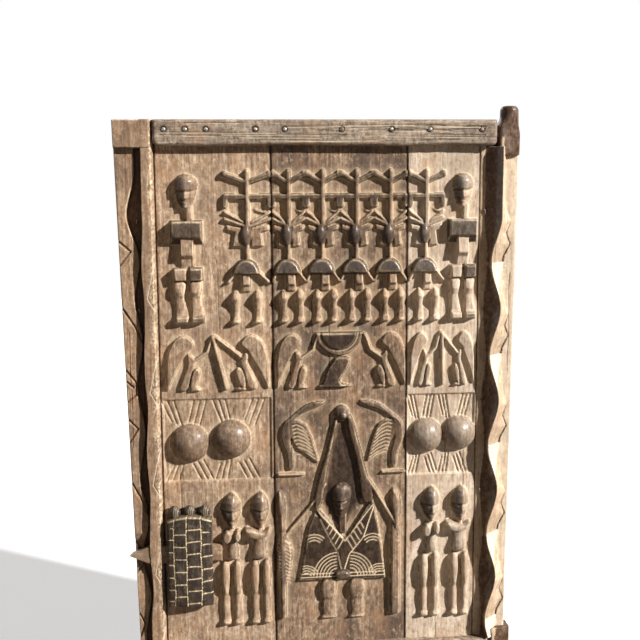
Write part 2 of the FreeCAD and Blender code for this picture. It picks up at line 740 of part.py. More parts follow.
def hooked_nail(x, y, z, way):
    """A nail that is driven into a stile and bent over along it."""
    half = stile_nail_shank / 2
    shank = block(x - half, x + half, y - stile_nail_stand, y + stile_nail_depth, z - half, z + half)
    hook_end = z + way * stile_nail_hook
    hook = block(x - half, x + half, y - stile_nail_stand, y - stile_nail_stand + stile_nail_shank,
                 min(z, hook_end), max(z, hook_end))
    return shank.fuse(hook).removeSplitter()


# Heights of the bent nails in the stiles, as shares of the leaf.
left_stile_nail_shares = (0.167, 0.333, 0.667, 0.830)
right_stile_nail_shares = (0.167, 0.333, 0.500, 0.845)


def left_stile_nails():
    nails = []
    for index, share in enumerate(left_stile_nail_shares):
        height = leaf_height * share
        edge = left_stile_inner - left_strip_width - left_strip_wave - side_slope
        nails.append(hooked_nail(edge - stile_nail_shank, recess_front, height, 1 - 2 * (index % 2)))
    return nails


def right_stile_nails():
    nails = []
    for index, share in enumerate(right_stile_nail_shares):
        nails.append(hooked_nail(stile_inner + right_wall_valley_inset - stile_nail_shank, front,
                                 leaf_height * share, 1 - 2 * (index % 2)))
    return nails


def staple(x, z):
    """A forged staple driven flush from behind across a joint."""
    half_span = staple_span / 2
    half_wire = staple_wire / 2
    crown = block(x - half_span, x + half_span, -staple_wire, 0, z - half_wire, z + half_wire)
    legs = [block(left, left + staple_wire, -staple_leg_depth, 0, z - half_wire, z + half_wire)
            for left in (x - half_span, x + half_span - staple_wire)]
    return crown.multiFuse(legs).removeSplitter()


def joint_staples(x):
    """The staples along one joint, evenly spread up the leaf."""
    step = leaf_height / staples_per_joint
    return [staple(x, step * (index + 0.5)) for index in range(staples_per_joint)]


# Places of the lock, which sits on the left board beside the stile.
case_left = left_plank_left + case_left_margin
case_right = case_left + case_width
case_middle = (case_left + case_right) / 2
case_top = case_top_from_foot
case_foot = case_top - case_height
bolt_middle = case_top - bolt_below_case_top
bolt_back = front - bolt_gap
bolt_front = bolt_back - bolt_thickness
bolt_right = case_right + bolt_overhang
bolt_left = bolt_right - bolt_length


def bolt_channel():
    """The way that the bolt slides in, through the stile's ridge and the case."""
    half = bolt_height / 2 + bolt_gap
    return block(bolt_left - bolt_length, case_right + bolt_length, bolt_front - bolt_gap, front,
                 bolt_middle - half, bolt_middle + half)


def pin_places():
    """Middles of the tumbler pins across the case."""
    first = case_middle - pin_pitch * (pin_count - 1) / 2
    return [first + pin_pitch * index for index in range(pin_count)]


def pin_slot(x):
    """The stepped slot in the back of the case that one pin stands in."""
    foot = bolt_middle + bolt_height / 2
    seat = foot + pin_shank
    lower = pin_width / 2 + pin_gap
    upper = pin_head_width / 2 + pin_gap
    depth = pin_depth + 3 * pin_gap
    shank_slot = block(x - lower, x + lower, front - depth, front, foot, seat)
    head_slot = block(x - upper, x + upper, front - depth, front, seat - pin_gap,
                      seat + pin_head_height + pin_lift + pin_gap)
    return shank_slot.fuse(head_slot)


def tumbler_pin(x):
    """A loose pin whose foot rides on the bolt and whose head hangs in the case."""
    foot = bolt_middle + bolt_height / 2 + pin_gap
    back = front - pin_gap
    seat = foot + pin_shank
    half = pin_width / 2
    head_half = pin_head_width / 2
    shank = block(x - half, x + half, back - pin_depth, back, foot, seat)
    top = block(x - head_half, x + head_half, back - pin_depth, back, seat, seat + pin_head_height)
    return shank.fuse(top).removeSplitter()


def case_places():
    """The edges of the case's columns of bricks, with how far each is from its middle."""
    return [(case_left + share * case_width, 2 * share - 1) for share in case_column_shares]


def case_outline():
    """Front outline of the lock case, with an arched top."""
    crown = [(x, case_top - case_arch * aside ** 2) for x, aside in case_places()]
    return crown + [(case_right, case_foot), (case_left, case_foot)]


def knob(x):
    """A carved head that stands up from the top of the case."""
    foot = case_top - knob_seat
    box = (x - knob_width / 2, x + knob_width / 2, foot, foot + knob_height)
    return carve(spread(box, head_shares), knob_rise, rounded=True)


def mortar_lines():
    """The cuts between the case's bricks: three upright lines and staggered level ones."""
    depth = case_middle_depth + overrun
    places = [x for x, aside in case_places()]
    lines = [(x - mortar_width / 2, x + mortar_width / 2, case_foot, case_top)
             for x in places[1:-1]]
    for index, first_share in enumerate(first_level_shares):
        height = case_top - brick_height * first_share
        while height > case_foot + brick_height / 2:
            lines.append((places[index], places[index + 1], height - mortar_width / 2,
                          height + mortar_width / 2))
            height -= brick_height
    return [block(left, right, front - depth, front - case_edge_depth + overrun, foot, top)
            for left, right, foot, top in lines]


def case_front(depth_in):
    """The case's front as one flat facet for each column, moved in by a depth."""
    corners = [(case_left - overrun, front + overrun)]
    for x, aside in case_places():
        depth = case_middle_depth - (case_middle_depth - case_edge_depth) * aside ** 2
        corners.append((x + overrun * (aside == 1) - overrun * (aside == -1), front - depth + depth_in))
    corners.append((case_right + overrun, front + overrun))
    foot = ring([(x, y, case_foot - overrun) for x, y in corners])
    return Part.Face(foot).extrude(vector(0, 0, case_height + knob_height + 2 * overrun))


def lock_case():
    """The case: an arched granary front over the bolt's channel and the pins' slots."""
    body = plate(case_outline(), front, case_middle_depth).common(case_front(0))
    core = case_front(mortar_depth)
    body = body.cut([line.cut(core) for line in mortar_lines()])
    knobs = [knob(case_middle + (index - 1) * case_width / 3) for index in range(3)]
    body = body.multiFuse(knobs)
    backing = block(case_left - case_width, case_right + case_width, front, front + 2 * root_depth,
                    case_foot, case_top + knob_height)
    hollows = [backing, bolt_channel()] + [pin_slot(x) for x in pin_places()]
    return body.cut(hollows).removeSplitter()


def lock_bolt():
    """The bolt: a flat bar with a pointed end, pockets for the pins and a keyway in its back."""
    half = bolt_height / 2
    shoulder = bolt_left + bolt_point
    corners = [(bolt_right, bolt_middle - half), (bolt_right, bolt_middle + half),
               (shoulder, bolt_middle + half), (bolt_left, bolt_middle - bolt_point_height / 2),
               (bolt_left, bolt_middle - bolt_point_height), (shoulder, bolt_middle - half)]
    bar = plate(corners, bolt_back, bolt_thickness)
    pocket_half = pin_width / 2 + 2 * pin_gap
    cuts = []
    for x in pin_places():
        middle = x + bolt_catch_travel
        cuts.append(block(middle - pocket_half, middle + pocket_half,
                          bolt_back - pin_depth - 3 * pin_gap, bolt_back,
                          bolt_middle + half - pocket_depth, bolt_middle + half + overrun))
    keyway_foot = bolt_middle + half - pocket_depth - keyway_height
    cuts.append(block(pin_places()[0], bolt_right + overrun, bolt_back - keyway_width, bolt_back,
                      keyway_foot, bolt_middle + half - pocket_depth))
    return bar.cut(cuts).removeSplitter()


def lock_nails():
    """Nails driven through the board from behind into the case."""
    half = lock_nail_shank / 2
    low = case_foot + lock_nail_margin
    high = case_top - case_arch - lock_nail_margin
    nails = []
    for pin_x in pin_places()[:-1]:
        x = pin_x + pin_pitch / 2
        for z in (low, high):
            shank = block(x - half, x + half, front - lock_nail_bite, 0, z - half, z + half)
            wide = nail_head_width / 2
            flat = block(x - wide, x + wide, -nail_head_height, 0, z - wide, z + wide)
            nails.append(shank.fuse(flat).removeSplitter())
    return nails


def build():
    """Every node of the door, by name."""
    nodes = {
        "top_batten_nails": Part.makeCompound(batten_nails(field_top)),
        "bottom_batten_nails": Part.makeCompound(batten_nails(0)),
        "left_stile_nails": Part.makeCompound(left_stile_nails()),
        "right_stile_nails": Part.makeCompound(right_stile_nails()),
        "left_stile_staples": Part.makeCompound(joint_staples(left_stile_inner)),
        "left_seam_staples": Part.makeCompound(joint_staples(centre_plank_left)),
        "right_seam_staples": Part.makeCompound(joint_staples(right_plank_left)),
        "right_stile_staples": Part.makeCompound(joint_staples(stile_inner)),
        "lock_nails": Part.makeCompound(lock_nails()),
    }
    irons = Part.makeCompound(list(nodes.values()))
    timbers = {
        "left_plank": left_plank(),
        "centre_plank": centre_plank(),
        "right_plank": right_plank(),
        "left_stile": left_stile(),
        "right_stile": right_stile(),
        "top_batten": batten(field_top),
        "bottom_batten": batten(0),
        "lock_case": lock_case(),
    }
    for name, timber in timbers.items():
        nodes[name] = timber.cut(irons)
    nodes["lock_bolt"] = lock_bolt()
    for index, x in enumerate(pin_places()):
        nodes["tumbler_pin_" + str(index + 1)] = tumbler_pin(x)
    return nodes


os.makedirs("parts", exist_ok=True)
for node_name, node_shape in build().items():
    node_shape.translate(vector(0, -pintle_y, 0))
    node_shape.exportStep(os.path.join("parts", node_name + ".step"))
    print(node_name, len(node_shape.Solids), node_shape.isValid(), round(node_shape.Volume))
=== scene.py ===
import math

import bpy
import numpy as np
from mathutils import Matrix, Vector


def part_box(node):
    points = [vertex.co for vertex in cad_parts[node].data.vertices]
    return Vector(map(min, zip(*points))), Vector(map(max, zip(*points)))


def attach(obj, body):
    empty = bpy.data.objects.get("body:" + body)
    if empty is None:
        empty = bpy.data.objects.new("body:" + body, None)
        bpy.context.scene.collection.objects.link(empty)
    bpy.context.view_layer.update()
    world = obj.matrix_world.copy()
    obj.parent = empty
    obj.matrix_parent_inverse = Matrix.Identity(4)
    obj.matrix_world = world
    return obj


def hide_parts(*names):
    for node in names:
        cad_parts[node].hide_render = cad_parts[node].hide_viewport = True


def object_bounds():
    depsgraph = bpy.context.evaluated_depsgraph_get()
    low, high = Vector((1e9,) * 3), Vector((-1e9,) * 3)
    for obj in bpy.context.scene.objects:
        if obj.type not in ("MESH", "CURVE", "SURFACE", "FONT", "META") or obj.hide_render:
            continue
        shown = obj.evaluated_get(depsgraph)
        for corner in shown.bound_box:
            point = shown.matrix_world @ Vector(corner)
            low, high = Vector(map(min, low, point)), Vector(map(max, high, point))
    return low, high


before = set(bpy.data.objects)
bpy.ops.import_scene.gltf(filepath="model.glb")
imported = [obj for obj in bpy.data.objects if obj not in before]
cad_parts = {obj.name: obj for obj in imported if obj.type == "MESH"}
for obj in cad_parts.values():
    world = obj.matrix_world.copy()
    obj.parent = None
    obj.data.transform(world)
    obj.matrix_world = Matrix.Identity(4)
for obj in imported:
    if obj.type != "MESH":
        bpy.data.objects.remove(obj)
cad_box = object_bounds()

# Everything below is worked out in millimetres and turned into metres where a mesh is made.
metre = 0.001
random_seed = 20


def node_box(node):
    """Lowest and highest corners of a solid, in millimetres."""
    low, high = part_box(node)
    return np.array(low) / metre, np.array(high) / metre


# The boards and battens, as their solids give them.
board_thickness = 36.0
board_low, board_high = node_box("centre_plank")
board_back = board_high[1]
board_front = board_back - board_thickness
leaf_foot = board_low[2]
leaf_top = board_high[2]
batten_low, batten_high = node_box("top_batten")
batten_height = batten_high[2] - batten_low[2]
field_foot = leaf_foot + batten_height
field_top = leaf_top - batten_height


# Carving grids.
class Carving:
    """The face of one timber: heights above it over a grid, and marks of stain and painted shade,
    and of pale dust and painted highlight.
    """

    def __init__(self, left, right, foot, top, pitch, seed):
        """left and right are places, or functions of the height for a timber that tapers."""
        self.up = np.linspace(foot, top, round((top - foot) / pitch) + 1)
        left_edge = left(self.up) if callable(left) else np.full(self.up.shape, float(left))
        right_edge = right(self.up) if callable(right) else np.full(self.up.shape, float(right))
        columns = round(float(np.max(right_edge - left_edge)) / pitch) + 1
        share = np.linspace(0, 1, columns)
        self.x = left_edge[:, None] + (right_edge - left_edge)[:, None] * share[None, :]
        self.z = np.repeat(self.up[:, None], columns, axis=1)
        self.box = (float(left_edge.min()), float(right_edge.max()), foot, top)
        self.straight = not callable(left) and not callable(right)
        self.height, self.stain, self.pale = (np.zeros(self.x.shape) for _ in range(3))
        self.random = np.random.default_rng(seed)

    def patch(self, left, right, foot, top, margin=4.0):
        """The rows and columns that a mark can touch, and where their points lie."""
        rows = slice(*np.searchsorted(self.up, (foot - margin, top + margin)))
        columns = slice(None)
        if self.straight:
            columns = slice(*np.searchsorted(self.x[0], (left - margin, right + margin)))
        place = rows, columns
        return place, self.x[place], self.z[place]

    def from_sides(self):
        """How far each place lies from the nearer side of the timber."""
        return np.minimum(self.x - self.x[:, :1], self.x[:, -1:] - self.x)

    def noise(self, cell_x, cell_z):
        """Smooth random waves from -1 to 1, with cells of a given size."""
        return smooth_noise(self.x, self.z, cell_x, cell_z, self.random)

    def lift(self, place, shape, stain=0.0, ground=0.0):
        """Raises the face to a shape where that is higher, gives it stain and painted shade, and
        wipes off its dust and painted highlight.
        """
        new = ground + shape
        higher = (new > self.height[place]) & (shape > 0)
        for layer, value in ((self.height, new), (self.stain, stain), (self.pale, 0.0)):
            layer[place] = np.where(higher, value, layer[place])


def smooth_noise(x, z, cell_x, cell_z, random):
    """Random values on a lattice of cells, eased from each to the next."""
    columns = int((x.max() - x.min()) / cell_x) + 3
    rows = int((z.max() - z.min()) / cell_z) + 3
    lattice = random.uniform(-1, 1, (rows, columns))
    across = (x - x.min()) / cell_x
    up = (z - z.min()) / cell_z
    column = across.astype(int)
    row = up.astype(int)
    u = across - column
    v = up - row
    u = u * u * (3 - 2 * u)
    v = v * v * (3 - 2 * v)
    low = lattice[row, column] * (1 - u) + lattice[row, column + 1] * u
    high = lattice[row + 1, column] * (1 - u) + lattice[row + 1, column + 1] * u
    return low * (1 - v) + high * v


def blur(field, reach):
    """A soft average over a reach in grid steps."""
    steps = max(1, int(round(reach * 2)))
    weights = np.exp(-0.5 * (np.arange(-steps, steps + 1) / reach) ** 2)
    weights /= weights.sum()
    for axis in (0, 1):
        padded = np.pad(field, [(steps, steps) if a == axis else (0, 0) for a in (0, 1)],
                        mode="edge")
        total = np.zeros(field.shape)
        for index, weight in enumerate(weights):
            part = slice(index, index + field.shape[axis])
            total += weight * (padded[part, :] if axis == 0 else padded[:, part])
        field = total
    return field


# Shapes that the carver's marks are made of.
def spread(box, shares):
    """Shares across and up a box, as places."""
    left, right, foot, top = box
    return [(left + u * (right - left), foot + v * (top - foot)) for u, v in shares]


def inner_box(box, left_share, right_share, foot_share, top_share):
    (left, foot), (right, top) = spread(box, ((left_share, foot_share), (right_share, top_share)))
    return left, right, foot, top


def mirrored(shares, shift=0.0):
    """Shares of a box turned left to right."""
    return [(1 - u + shift, v) for u, v in reversed(shares)]


def softened(points, rounds=2):
    """An outline with its corners cut, so that it runs in a curve."""
    for _ in range(rounds):
        cut = []
        for (ax, az), (bx, bz) in zip(points, points[1:] + points[:1]):
            cut.append((ax * 0.75 + bx * 0.25, az * 0.75 + bz * 0.25))
            cut.append((ax * 0.25 + bx * 0.75, az * 0.25 + bz * 0.75))
        points = cut
    return points


def from_line(start, end, x, z):
    """Distance from the straight line between two places."""
    run_x, run_z = end[0] - start[0], end[1] - start[1]
    along = (x - start[0]) * run_x + (z - start[1]) * run_z
    share = np.clip(along / (run_x * run_x + run_z * run_z), 0, 1)
    return np.hypot(x - start[0] - share * run_x, z - start[1] - share * run_z)


def depth_inside(points, x, z):
    """How far inside an outline each place lies, below zero outside it."""
    inside = np.zeros(x.shape, bool)
    nearest = np.full(x.shape, np.inf)
    for start, end in zip(points, points[1:] + points[:1]):
        if start == end:
            continue
        nearest = np.minimum(nearest, from_line(start, end, x, z))
        run_x, run_z = end[0] - start[0], end[1] - start[1]
        if run_z != 0:
            crossing = start[0] + (z - start[1]) / run_z * run_x
            inside ^= ((start[1] > z) != (end[1] > z)) & (x < crossing)
    return np.where(inside, nearest, -nearest)


def away_from(places, x, z):
    """Distance from a line through places."""
    return np.minimum.reduce([from_line(start, end, x, z)
                              for start, end in zip(places, places[1:])])


def extent(points, extra=0.0):
    """The box around points: left, right, foot and top."""
    xs = [point[0] for point in points]
    zs = [point[1] for point in points]
    return min(xs) - extra, max(xs) + extra, min(zs) - extra, max(zs) + extra


side_run = 3.4


def profile_at(pairs, at):
    """Values that run straight from each pair of place and value to the next."""
    return np.interp(at, *zip(*pairs))


def inside_box(box, x, z, runs=(1, 1, 1, 1)):
    """How far inside a box each place lies, counted in the run of each side."""
    left, right, foot, top = box
    return np.minimum(np.minimum((x - left) / runs[0], (right - x) / runs[1]),
                      np.minimum((z - foot) / runs[2], (top - z) / runs[3]))


def tilted(level, tilt, box, x, z):
    """A level that leans across and up its box."""
    left, right, foot, top = box
    level = level + tilt[0] * ((x - left) / (right - left) - 0.5)
    return level + tilt[1] * ((z - foot) / (top - foot) - 0.5)


def form(carving, points, rise, side=side_run, crown=0.0, tilt=(0.0, 0.0), stain=0.0):
    """A raised form with sloping sides. A crown rounds its top, and a tilt leans it."""
    place, x, z = carving.patch(*extent(points))
    inside = depth_inside(points, x, z)
    level = rise
    if crown:
        share = np.clip(inside / max(float(inside.max()), side), 0, 1)
        level = rise + crown * (np.sqrt(np.clip(1 - (1 - share) ** 2, 0, 1)) - 1)
    level = tilted(level, tilt, extent(points), x, z)
    carving.lift(place, np.clip(inside / side, 0, 1) * level, stain)


def outlined(carving, box, shares, rise, **look):
    """A raised form from shares of its box, with its corners eased once."""
    form(carving, softened(spread(box, shares), 1), rise, **look)


def bar(carving, places, width, rise, side=side_run, stain=0.0):
    """A raised bar along places."""
    place, x, z = carving.patch(*extent(places, width / 2))
    inside = width / 2 - away_from(places, x, z)
    carving.lift(place, rise * np.clip(inside / side, 0, 1), stain)


def ball(carving, x_middle, z_middle, reach_x, reach_z, rise, stain=0.0, ground=0.0, power=2.0):
    """A round swelling. A higher power makes it fuller."""
    place, x, z = carving.patch(x_middle - reach_x, x_middle + reach_x, z_middle - reach_z,
                                z_middle + reach_z)
    reach = np.hypot((x - x_middle) / reach_x, (z - z_middle) / reach_z)
    carving.lift(place, rise * np.clip(1 - reach ** power, 0, 1) ** (1 / power), stain, ground)


def wedge(carving, box, rise, runs, tilt=(0.0, 0.0), stain=0.0):
    """A block whose four sides slope over runs of their own: left, right, foot and top."""
    place, x, z = carving.patch(*box)
    cover = np.clip(inside_box(box, x, z, runs), 0, 1)
    carving.lift(place, cover * tilted(rise, tilt, box, x, z), stain)


def profiled(carving, box, shares, rise, side=2.6, lean=0.0, stain=0.0):
    """A block of one width whose front follows a side profile: share of height, share of rise."""
    left, right, foot, top = box
    place, x, z = carving.patch(*box)
    level = rise * profile_at(shares, (z - foot) / (top - foot))
    across = np.clip(np.minimum(x - left, right - x) / side, 0, 1)
    ends = np.clip(np.minimum(z - foot, top - z) / side, 0, 1)
    carving.lift(place, tilted(level, (lean, 0.0), box, x, z) * across * ends, stain)


def score(carving, places, width, depth, pale=0.6, stain=0.0):
    """A cut line. Dust or dirt lies in it."""
    place, x, z = carving.patch(*extent(places, width))
    cut = depth * np.clip(1 - (away_from(places, x, z) / (width / 2)) ** 2, 0, 1)
    share = np.clip(cut / max(float(cut.max()), 0.001), 0, 1)
    carving.height[place] -= cut
    carving.pale[place] = np.maximum(carving.pale[place], share * pale)
    carving.stain[place] = np.maximum(carving.stain[place], share * stain)


def arc_places(x_middle, z_middle, reach_x, reach_z, start, end, steps=10):
    """Places along an arc between two angles in degrees."""
    places = []
    for index in range(steps + 1):
        angle = math.radians(start + (end - start) * index / steps)
        places.append((x_middle + reach_x * math.cos(angle), z_middle + reach_z * math.sin(angle)))
    return places


# Rows of carving, as shares of the field between the battens, from its foot.
figure_row_shares = (0.665, 0.950)
dancer_row_shares = (0.661, 0.953)
kneeling_row_shares = (0.530, 0.642)
breast_row_shares = (0.348, 0.514)
couple_row_shares = (0.046, 0.329)
procession_row_shares = (0.046, 0.513)


def row(across, row_shares, left_share=0.0, right_share=1.0):
    """The box of a part of one row of carving on a board."""
    left, right = across
    return inner_box((left, right, field_foot, field_top), left_share, right_share, *row_shares)


# Outlines of the carving. Each corner is a share of its box: across, then up.
long_head_shares = ((0.00, 0.20), (0.07, 0.42), (0.22, 0.70), (0.42, 0.96), (0.56, 1.00),
                    (0.74, 0.88), (0.88, 0.58), (0.96, 0.28), (1.00, 0.05))
round_head_shares = ((0.00, 0.30), (0.08, 0.55), (0.25, 0.72), (0.45, 0.86), (0.54, 0.92),
                     (0.70, 1.00), (0.84, 0.88), (0.95, 0.52), (1.00, 0.12))
head_depth_shares = ((0.00, 0.42), (0.07, 0.66), (0.15, 0.60), (0.20, 0.66), (0.26, 0.62),
                     (0.34, 0.84), (0.47, 0.78), (0.53, 0.70), (0.58, 1.00), (0.80, 1.00),
                     (0.93, 0.80), (1.00, 0.30))
thigh_shares = [(0.04, 1.00), (0.98, 1.00), (0.92, 0.80), (0.80, 0.62), (0.86, 0.42), (1.06, 0.24),
                (1.10, 0.17), (1.12, 0.00), (0.08, 0.00), (0.06, 0.20), (0.10, 0.40), (0.00, 0.66),
                (-0.04, 0.86)]
bent_leg_shares = [(0.34, 1.00), (0.72, 0.98), (1.00, 0.86), (1.04, 0.72), (0.96, 0.40),
                   (0.98, 0.17), (1.08, 0.12), (1.06, 0.00), (0.00, 0.00), (-0.14, 0.06),
                   (0.12, 0.17), (0.16, 0.42), (-0.02, 0.66), (-0.04, 0.80), (0.12, 0.92)]
breast_shares = [(0.32, 0.00), (0.66, 0.02), (0.92, 0.24), (1.00, 0.52), (0.90, 0.84),
                 (0.66, 1.00), (0.38, 0.98), (0.10, 0.74), (0.00, 0.42), (0.10, 0.14)]
crossed_arm_shares = [(-0.10, 0.731), (0.15, 0.728), (0.47, 0.712), (0.68, 0.702), (0.86, 0.720),
                      (0.99, 0.731), (1.02, 0.700), (0.86, 0.660), (0.51, 0.633), (0.22, 0.640),
                      (-0.02, 0.668), (-0.12, 0.700)]
kneeling_lobe_shares = [(0.018, 0.012), (0.018, 0.444), (0.056, 0.691), (0.142, 0.877),
                        (0.258, 0.968), (0.374, 0.993), (0.478, 0.951), (0.560, 0.864),
                        (0.555, 0.775), (0.438, 0.716), (0.374, 0.605), (0.296, 0.481),
                        (0.194, 0.321), (0.104, 0.123), (0.052, 0.020)]
kneeling_torso_shares = [(0.23, 0.01), (0.33, 0.26), (0.44, 0.49), (0.40, 0.62), (0.45, 0.70),
                         (0.58, 0.56), (0.57, 0.49), (0.50, 0.30), (0.43, 0.01)]
kneeling_thigh_shares = [(0.46, 0.03), (0.47, 0.22), (0.52, 0.37), (0.60, 0.43), (0.67, 0.38),
                         (0.67, 0.29), (0.57, 0.05)]
kneeling_foot_shares = [(0.46, 0.00), (0.47, 0.06), (0.60, 0.08), (0.72, 0.01)]
kneeling_arm_shares = [(0.54, 0.535), (0.80, 0.69), (0.88, 0.89), (0.93, 0.96)]
joined_arm_shares = [(0.56, 0.60), (0.80, 0.78), (1.06, 0.965)]
bird_body_shares = [(0.416, 0.987), (0.261, 0.979), (0.187, 0.949), (0.125, 0.918), (0.069, 0.894),
                    (0.048, 0.851), (0.060, 0.800), (0.094, 0.755), (0.099, 0.684), (0.149, 0.684),
                    (0.155, 0.746), (0.139, 0.778), (0.128, 0.801), (0.128, 0.849), (0.130, 0.892),
                    (0.162, 0.907), (0.205, 0.927), (0.268, 0.944), (0.352, 0.960)]
bird_wing_shares = [(0.140, 0.896), (0.187, 0.901), (0.246, 0.881), (0.287, 0.831), (0.336, 0.726),
                    (0.328, 0.711), (0.252, 0.745), (0.169, 0.778), (0.136, 0.826), (0.131, 0.873)]
robe_shares = [(0.30, 0.50), (0.52, 0.37), (0.76, 0.53), (0.802, 0.401), (0.837, 0.262),
               (0.855, 0.186), (0.172, 0.190), (0.205, 0.277), (0.249, 0.423)]
collar_shares = [(0.299, 0.522), (0.345, 0.505), (0.519, 0.385), (0.549, 0.385), (0.700, 0.520),
                 (0.752, 0.556), (0.760, 0.517), (0.683, 0.380), (0.572, 0.308), (0.540, 0.235),
                 (0.495, 0.235), (0.467, 0.326), (0.412, 0.378), (0.338, 0.469)]
shade_shares = [(0.481, 0.900), (0.543, 0.900), (0.640, 0.690), (0.672, 0.552), (0.584, 0.470),
                (0.520, 0.400), (0.428, 0.470), (0.360, 0.534), (0.385, 0.630), (0.428, 0.773)]
left_arm_shares = [(0.470, 0.915), (0.440, 0.890), (0.400, 0.780), (0.318, 0.630), (0.286, 0.530),
                   (0.305, 0.505), (0.350, 0.512), (0.372, 0.560), (0.395, 0.650), (0.445, 0.790),
                   (0.495, 0.905)]
right_arm_shares = [(0.530, 0.905), (0.590, 0.780), (0.640, 0.655), (0.652, 0.560), (0.680, 0.525),
                    (0.745, 0.530), (0.762, 0.575), (0.715, 0.645), (0.655, 0.780), (0.600, 0.905),
                    (0.570, 0.930)]
club_shares = [(0.45, 1.00), (0.78, 0.88), (0.96, 0.62), (0.90, 0.40), (0.74, 0.00), (0.34, 0.00),
               (0.20, 0.42), (0.02, 0.64), (0.04, 0.86), (0.20, 0.97)]
leaf_shares = [(0.38, 1.00), (0.70, 0.98), (0.98, 0.78), (0.96, 0.45), (0.78, 0.12), (0.55, 0.00),
               (0.25, 0.06), (0.02, 0.35), (0.04, 0.70), (0.22, 0.88)]
skirt_shares = [(0.00, 1.00), (1.00, 0.86), (1.00, 0.00), (0.30, 0.03), (0.44, 0.66), (0.00, 0.74)]
leg_profile_shares = [(0.00, 0.45), (0.04, 0.92), (0.12, 0.95), (0.18, 0.40), (0.36, 0.42),
                      (0.62, 0.80), (0.76, 1.12), (0.86, 0.90), (1.00, 0.18)]
thigh_profile_shares = [(0.00, 0.50), (0.18, 0.62), (0.22, 0.46), (0.60, 0.62), (0.74, 1.02),
                        (0.96, 0.86), (1.00, 0.55)]
body_profile_shares = [(0.00, 0.62), (0.08, 0.95), (0.25, 1.00), (0.55, 0.72), (1.00, 0.55)]
trunk_shares = [(0.16, 0.00), (0.84, 0.00), (0.98, 0.10), (1.00, 0.28), (0.92, 0.60), (0.96, 1.00),
                (0.10, 1.00), (0.12, 0.60), (0.00, 0.28), (0.02, 0.10)]
couple_leg_shares = [(0.20, 1.00), (0.86, 1.00), (1.00, 0.86), (0.98, 0.66), (0.84, 0.52),
                     (0.94, 0.32), (0.86, 0.10), (1.02, 0.07), (1.02, 0.00), (0.00, 0.00),
                     (0.02, 0.08), (0.16, 0.14), (0.06, 0.34), (0.14, 0.52), (0.00, 0.68),
                     (0.02, 0.88)]
couple_leg_profile_shares = [(0.00, 0.60), (0.07, 0.80), (0.10, 0.48), (0.30, 0.62), (0.48, 0.56),
                             (0.56, 0.92), (0.78, 1.00), (0.94, 0.80), (1.00, 0.55)]
mortar_shares = [(0.46, 0.58), (0.58, 0.57), (0.58, 0.44), (0.53, 0.26), (0.49, 0.11),
                 (0.58, 0.06), (0.60, 0.01), (0.30, 0.01), (0.33, 0.06), (0.37, 0.11),
                 (0.39, 0.33), (0.44, 0.48)]

# How far the carving stands out.
standing_rise = 24.0
dancer_rise = 22.0
mask_rise = 11.0
kneeling_rise = 9.5
couple_rise = 24.0
procession_rise = 12.0
breast_rise = 35.0
panel_recess = 4.0
panel_edge_run = 2.4


brow_share = 0.55


def head(carving, box, rise, widths, cap_stain, face_stain, ridge_share=0.46):
    """A head whose face falls away to both sides of a ridge, under a cap of smooth hair, with
    painted shade on the side away from the light.
    """
    left, right, foot, top = box
    place, x, z = carving.patch(*box)
    width = right - left
    up = np.clip((z - foot) / (top - foot), 0, 1)
    ridge = left + ridge_share * width
    half = np.where(x < ridge, ridge - left, right - ridge) * profile_at(widths, up)
    across = np.clip(np.abs(x - ridge) / half, 0, 1)
    brow = brow_share - 0.05 * (1 - across)
    depth = profile_at(head_depth_shares, up - brow + brow_share)
    bulge = (1 - across ** 1.7) ** 0.60
    beside_nose = np.abs(x - ridge) / (0.11 * width)
    nose = 0.13 * np.clip(1 - beside_nose, 0, 1) * ((up > 0.27) & (up < 0.50))
    inside = (z > foot) & (z < top) & (np.abs(x - ridge) < half)
    # Painted shade: the face left of the ridge, away from the light, and the cap on that side are
    # painted darker.
    shaded_side = np.clip((ridge - x) / (0.16 * width) + 0.4, 0, 1)
    stain = np.where(up > brow, cap_stain * (0.6 + 0.4 * shaded_side),
                     face_stain + (1.0 - face_stain) * shaded_side)
    carving.lift(place, rise * (bulge * depth + nose) * inside, stain)
    # Painted highlight: only the eye cut on the lit right side is paler.
    for side in (-1, 1):
        eye = [(ridge + side * 0.12 * width, foot + 0.45 * (top - foot)),
               (ridge + side * 0.30 * width, foot + 0.49 * (top - foot))]
        score(carving, eye, 3.6, 2.0, pale=0.3 if side > 0 else 0.0, stain=0.8)
    mouth = spread(box, [(ridge_share - 0.10, 0.185), (ridge_share + 0.18, 0.185)])
    score(carving, mouth, 3.0, 1.6, pale=0.0, stain=0.7)


def limb(carving, box, shares, profile, rise, side=2.4, lean=0.0, crown=0.30, stain=0.0):
    """A leg or a trunk: an eased outline whose front follows a side profile."""
    points = softened(spread(box, shares), 1)
    place, x, z = carving.patch(*extent(points))
    inside = depth_inside(points, x, z)
    level = rise * profile_at(profile, (z - box[2]) / (box[3] - box[2]))
    level = tilted(level, (lean, 0.0), box, x, z)
    fullest = max(float(inside.max()), side)
    level = level * (1 - crown * (1 - np.clip(inside / fullest, 0, 1)) ** 2)
    carving.lift(place, level * np.clip(inside / side, 0, 1), stain)


def heights_in(box):
    """A function that turns a share of a box's height into a height."""
    foot, top = box[2:]
    return lambda share: foot + share * (top - foot)


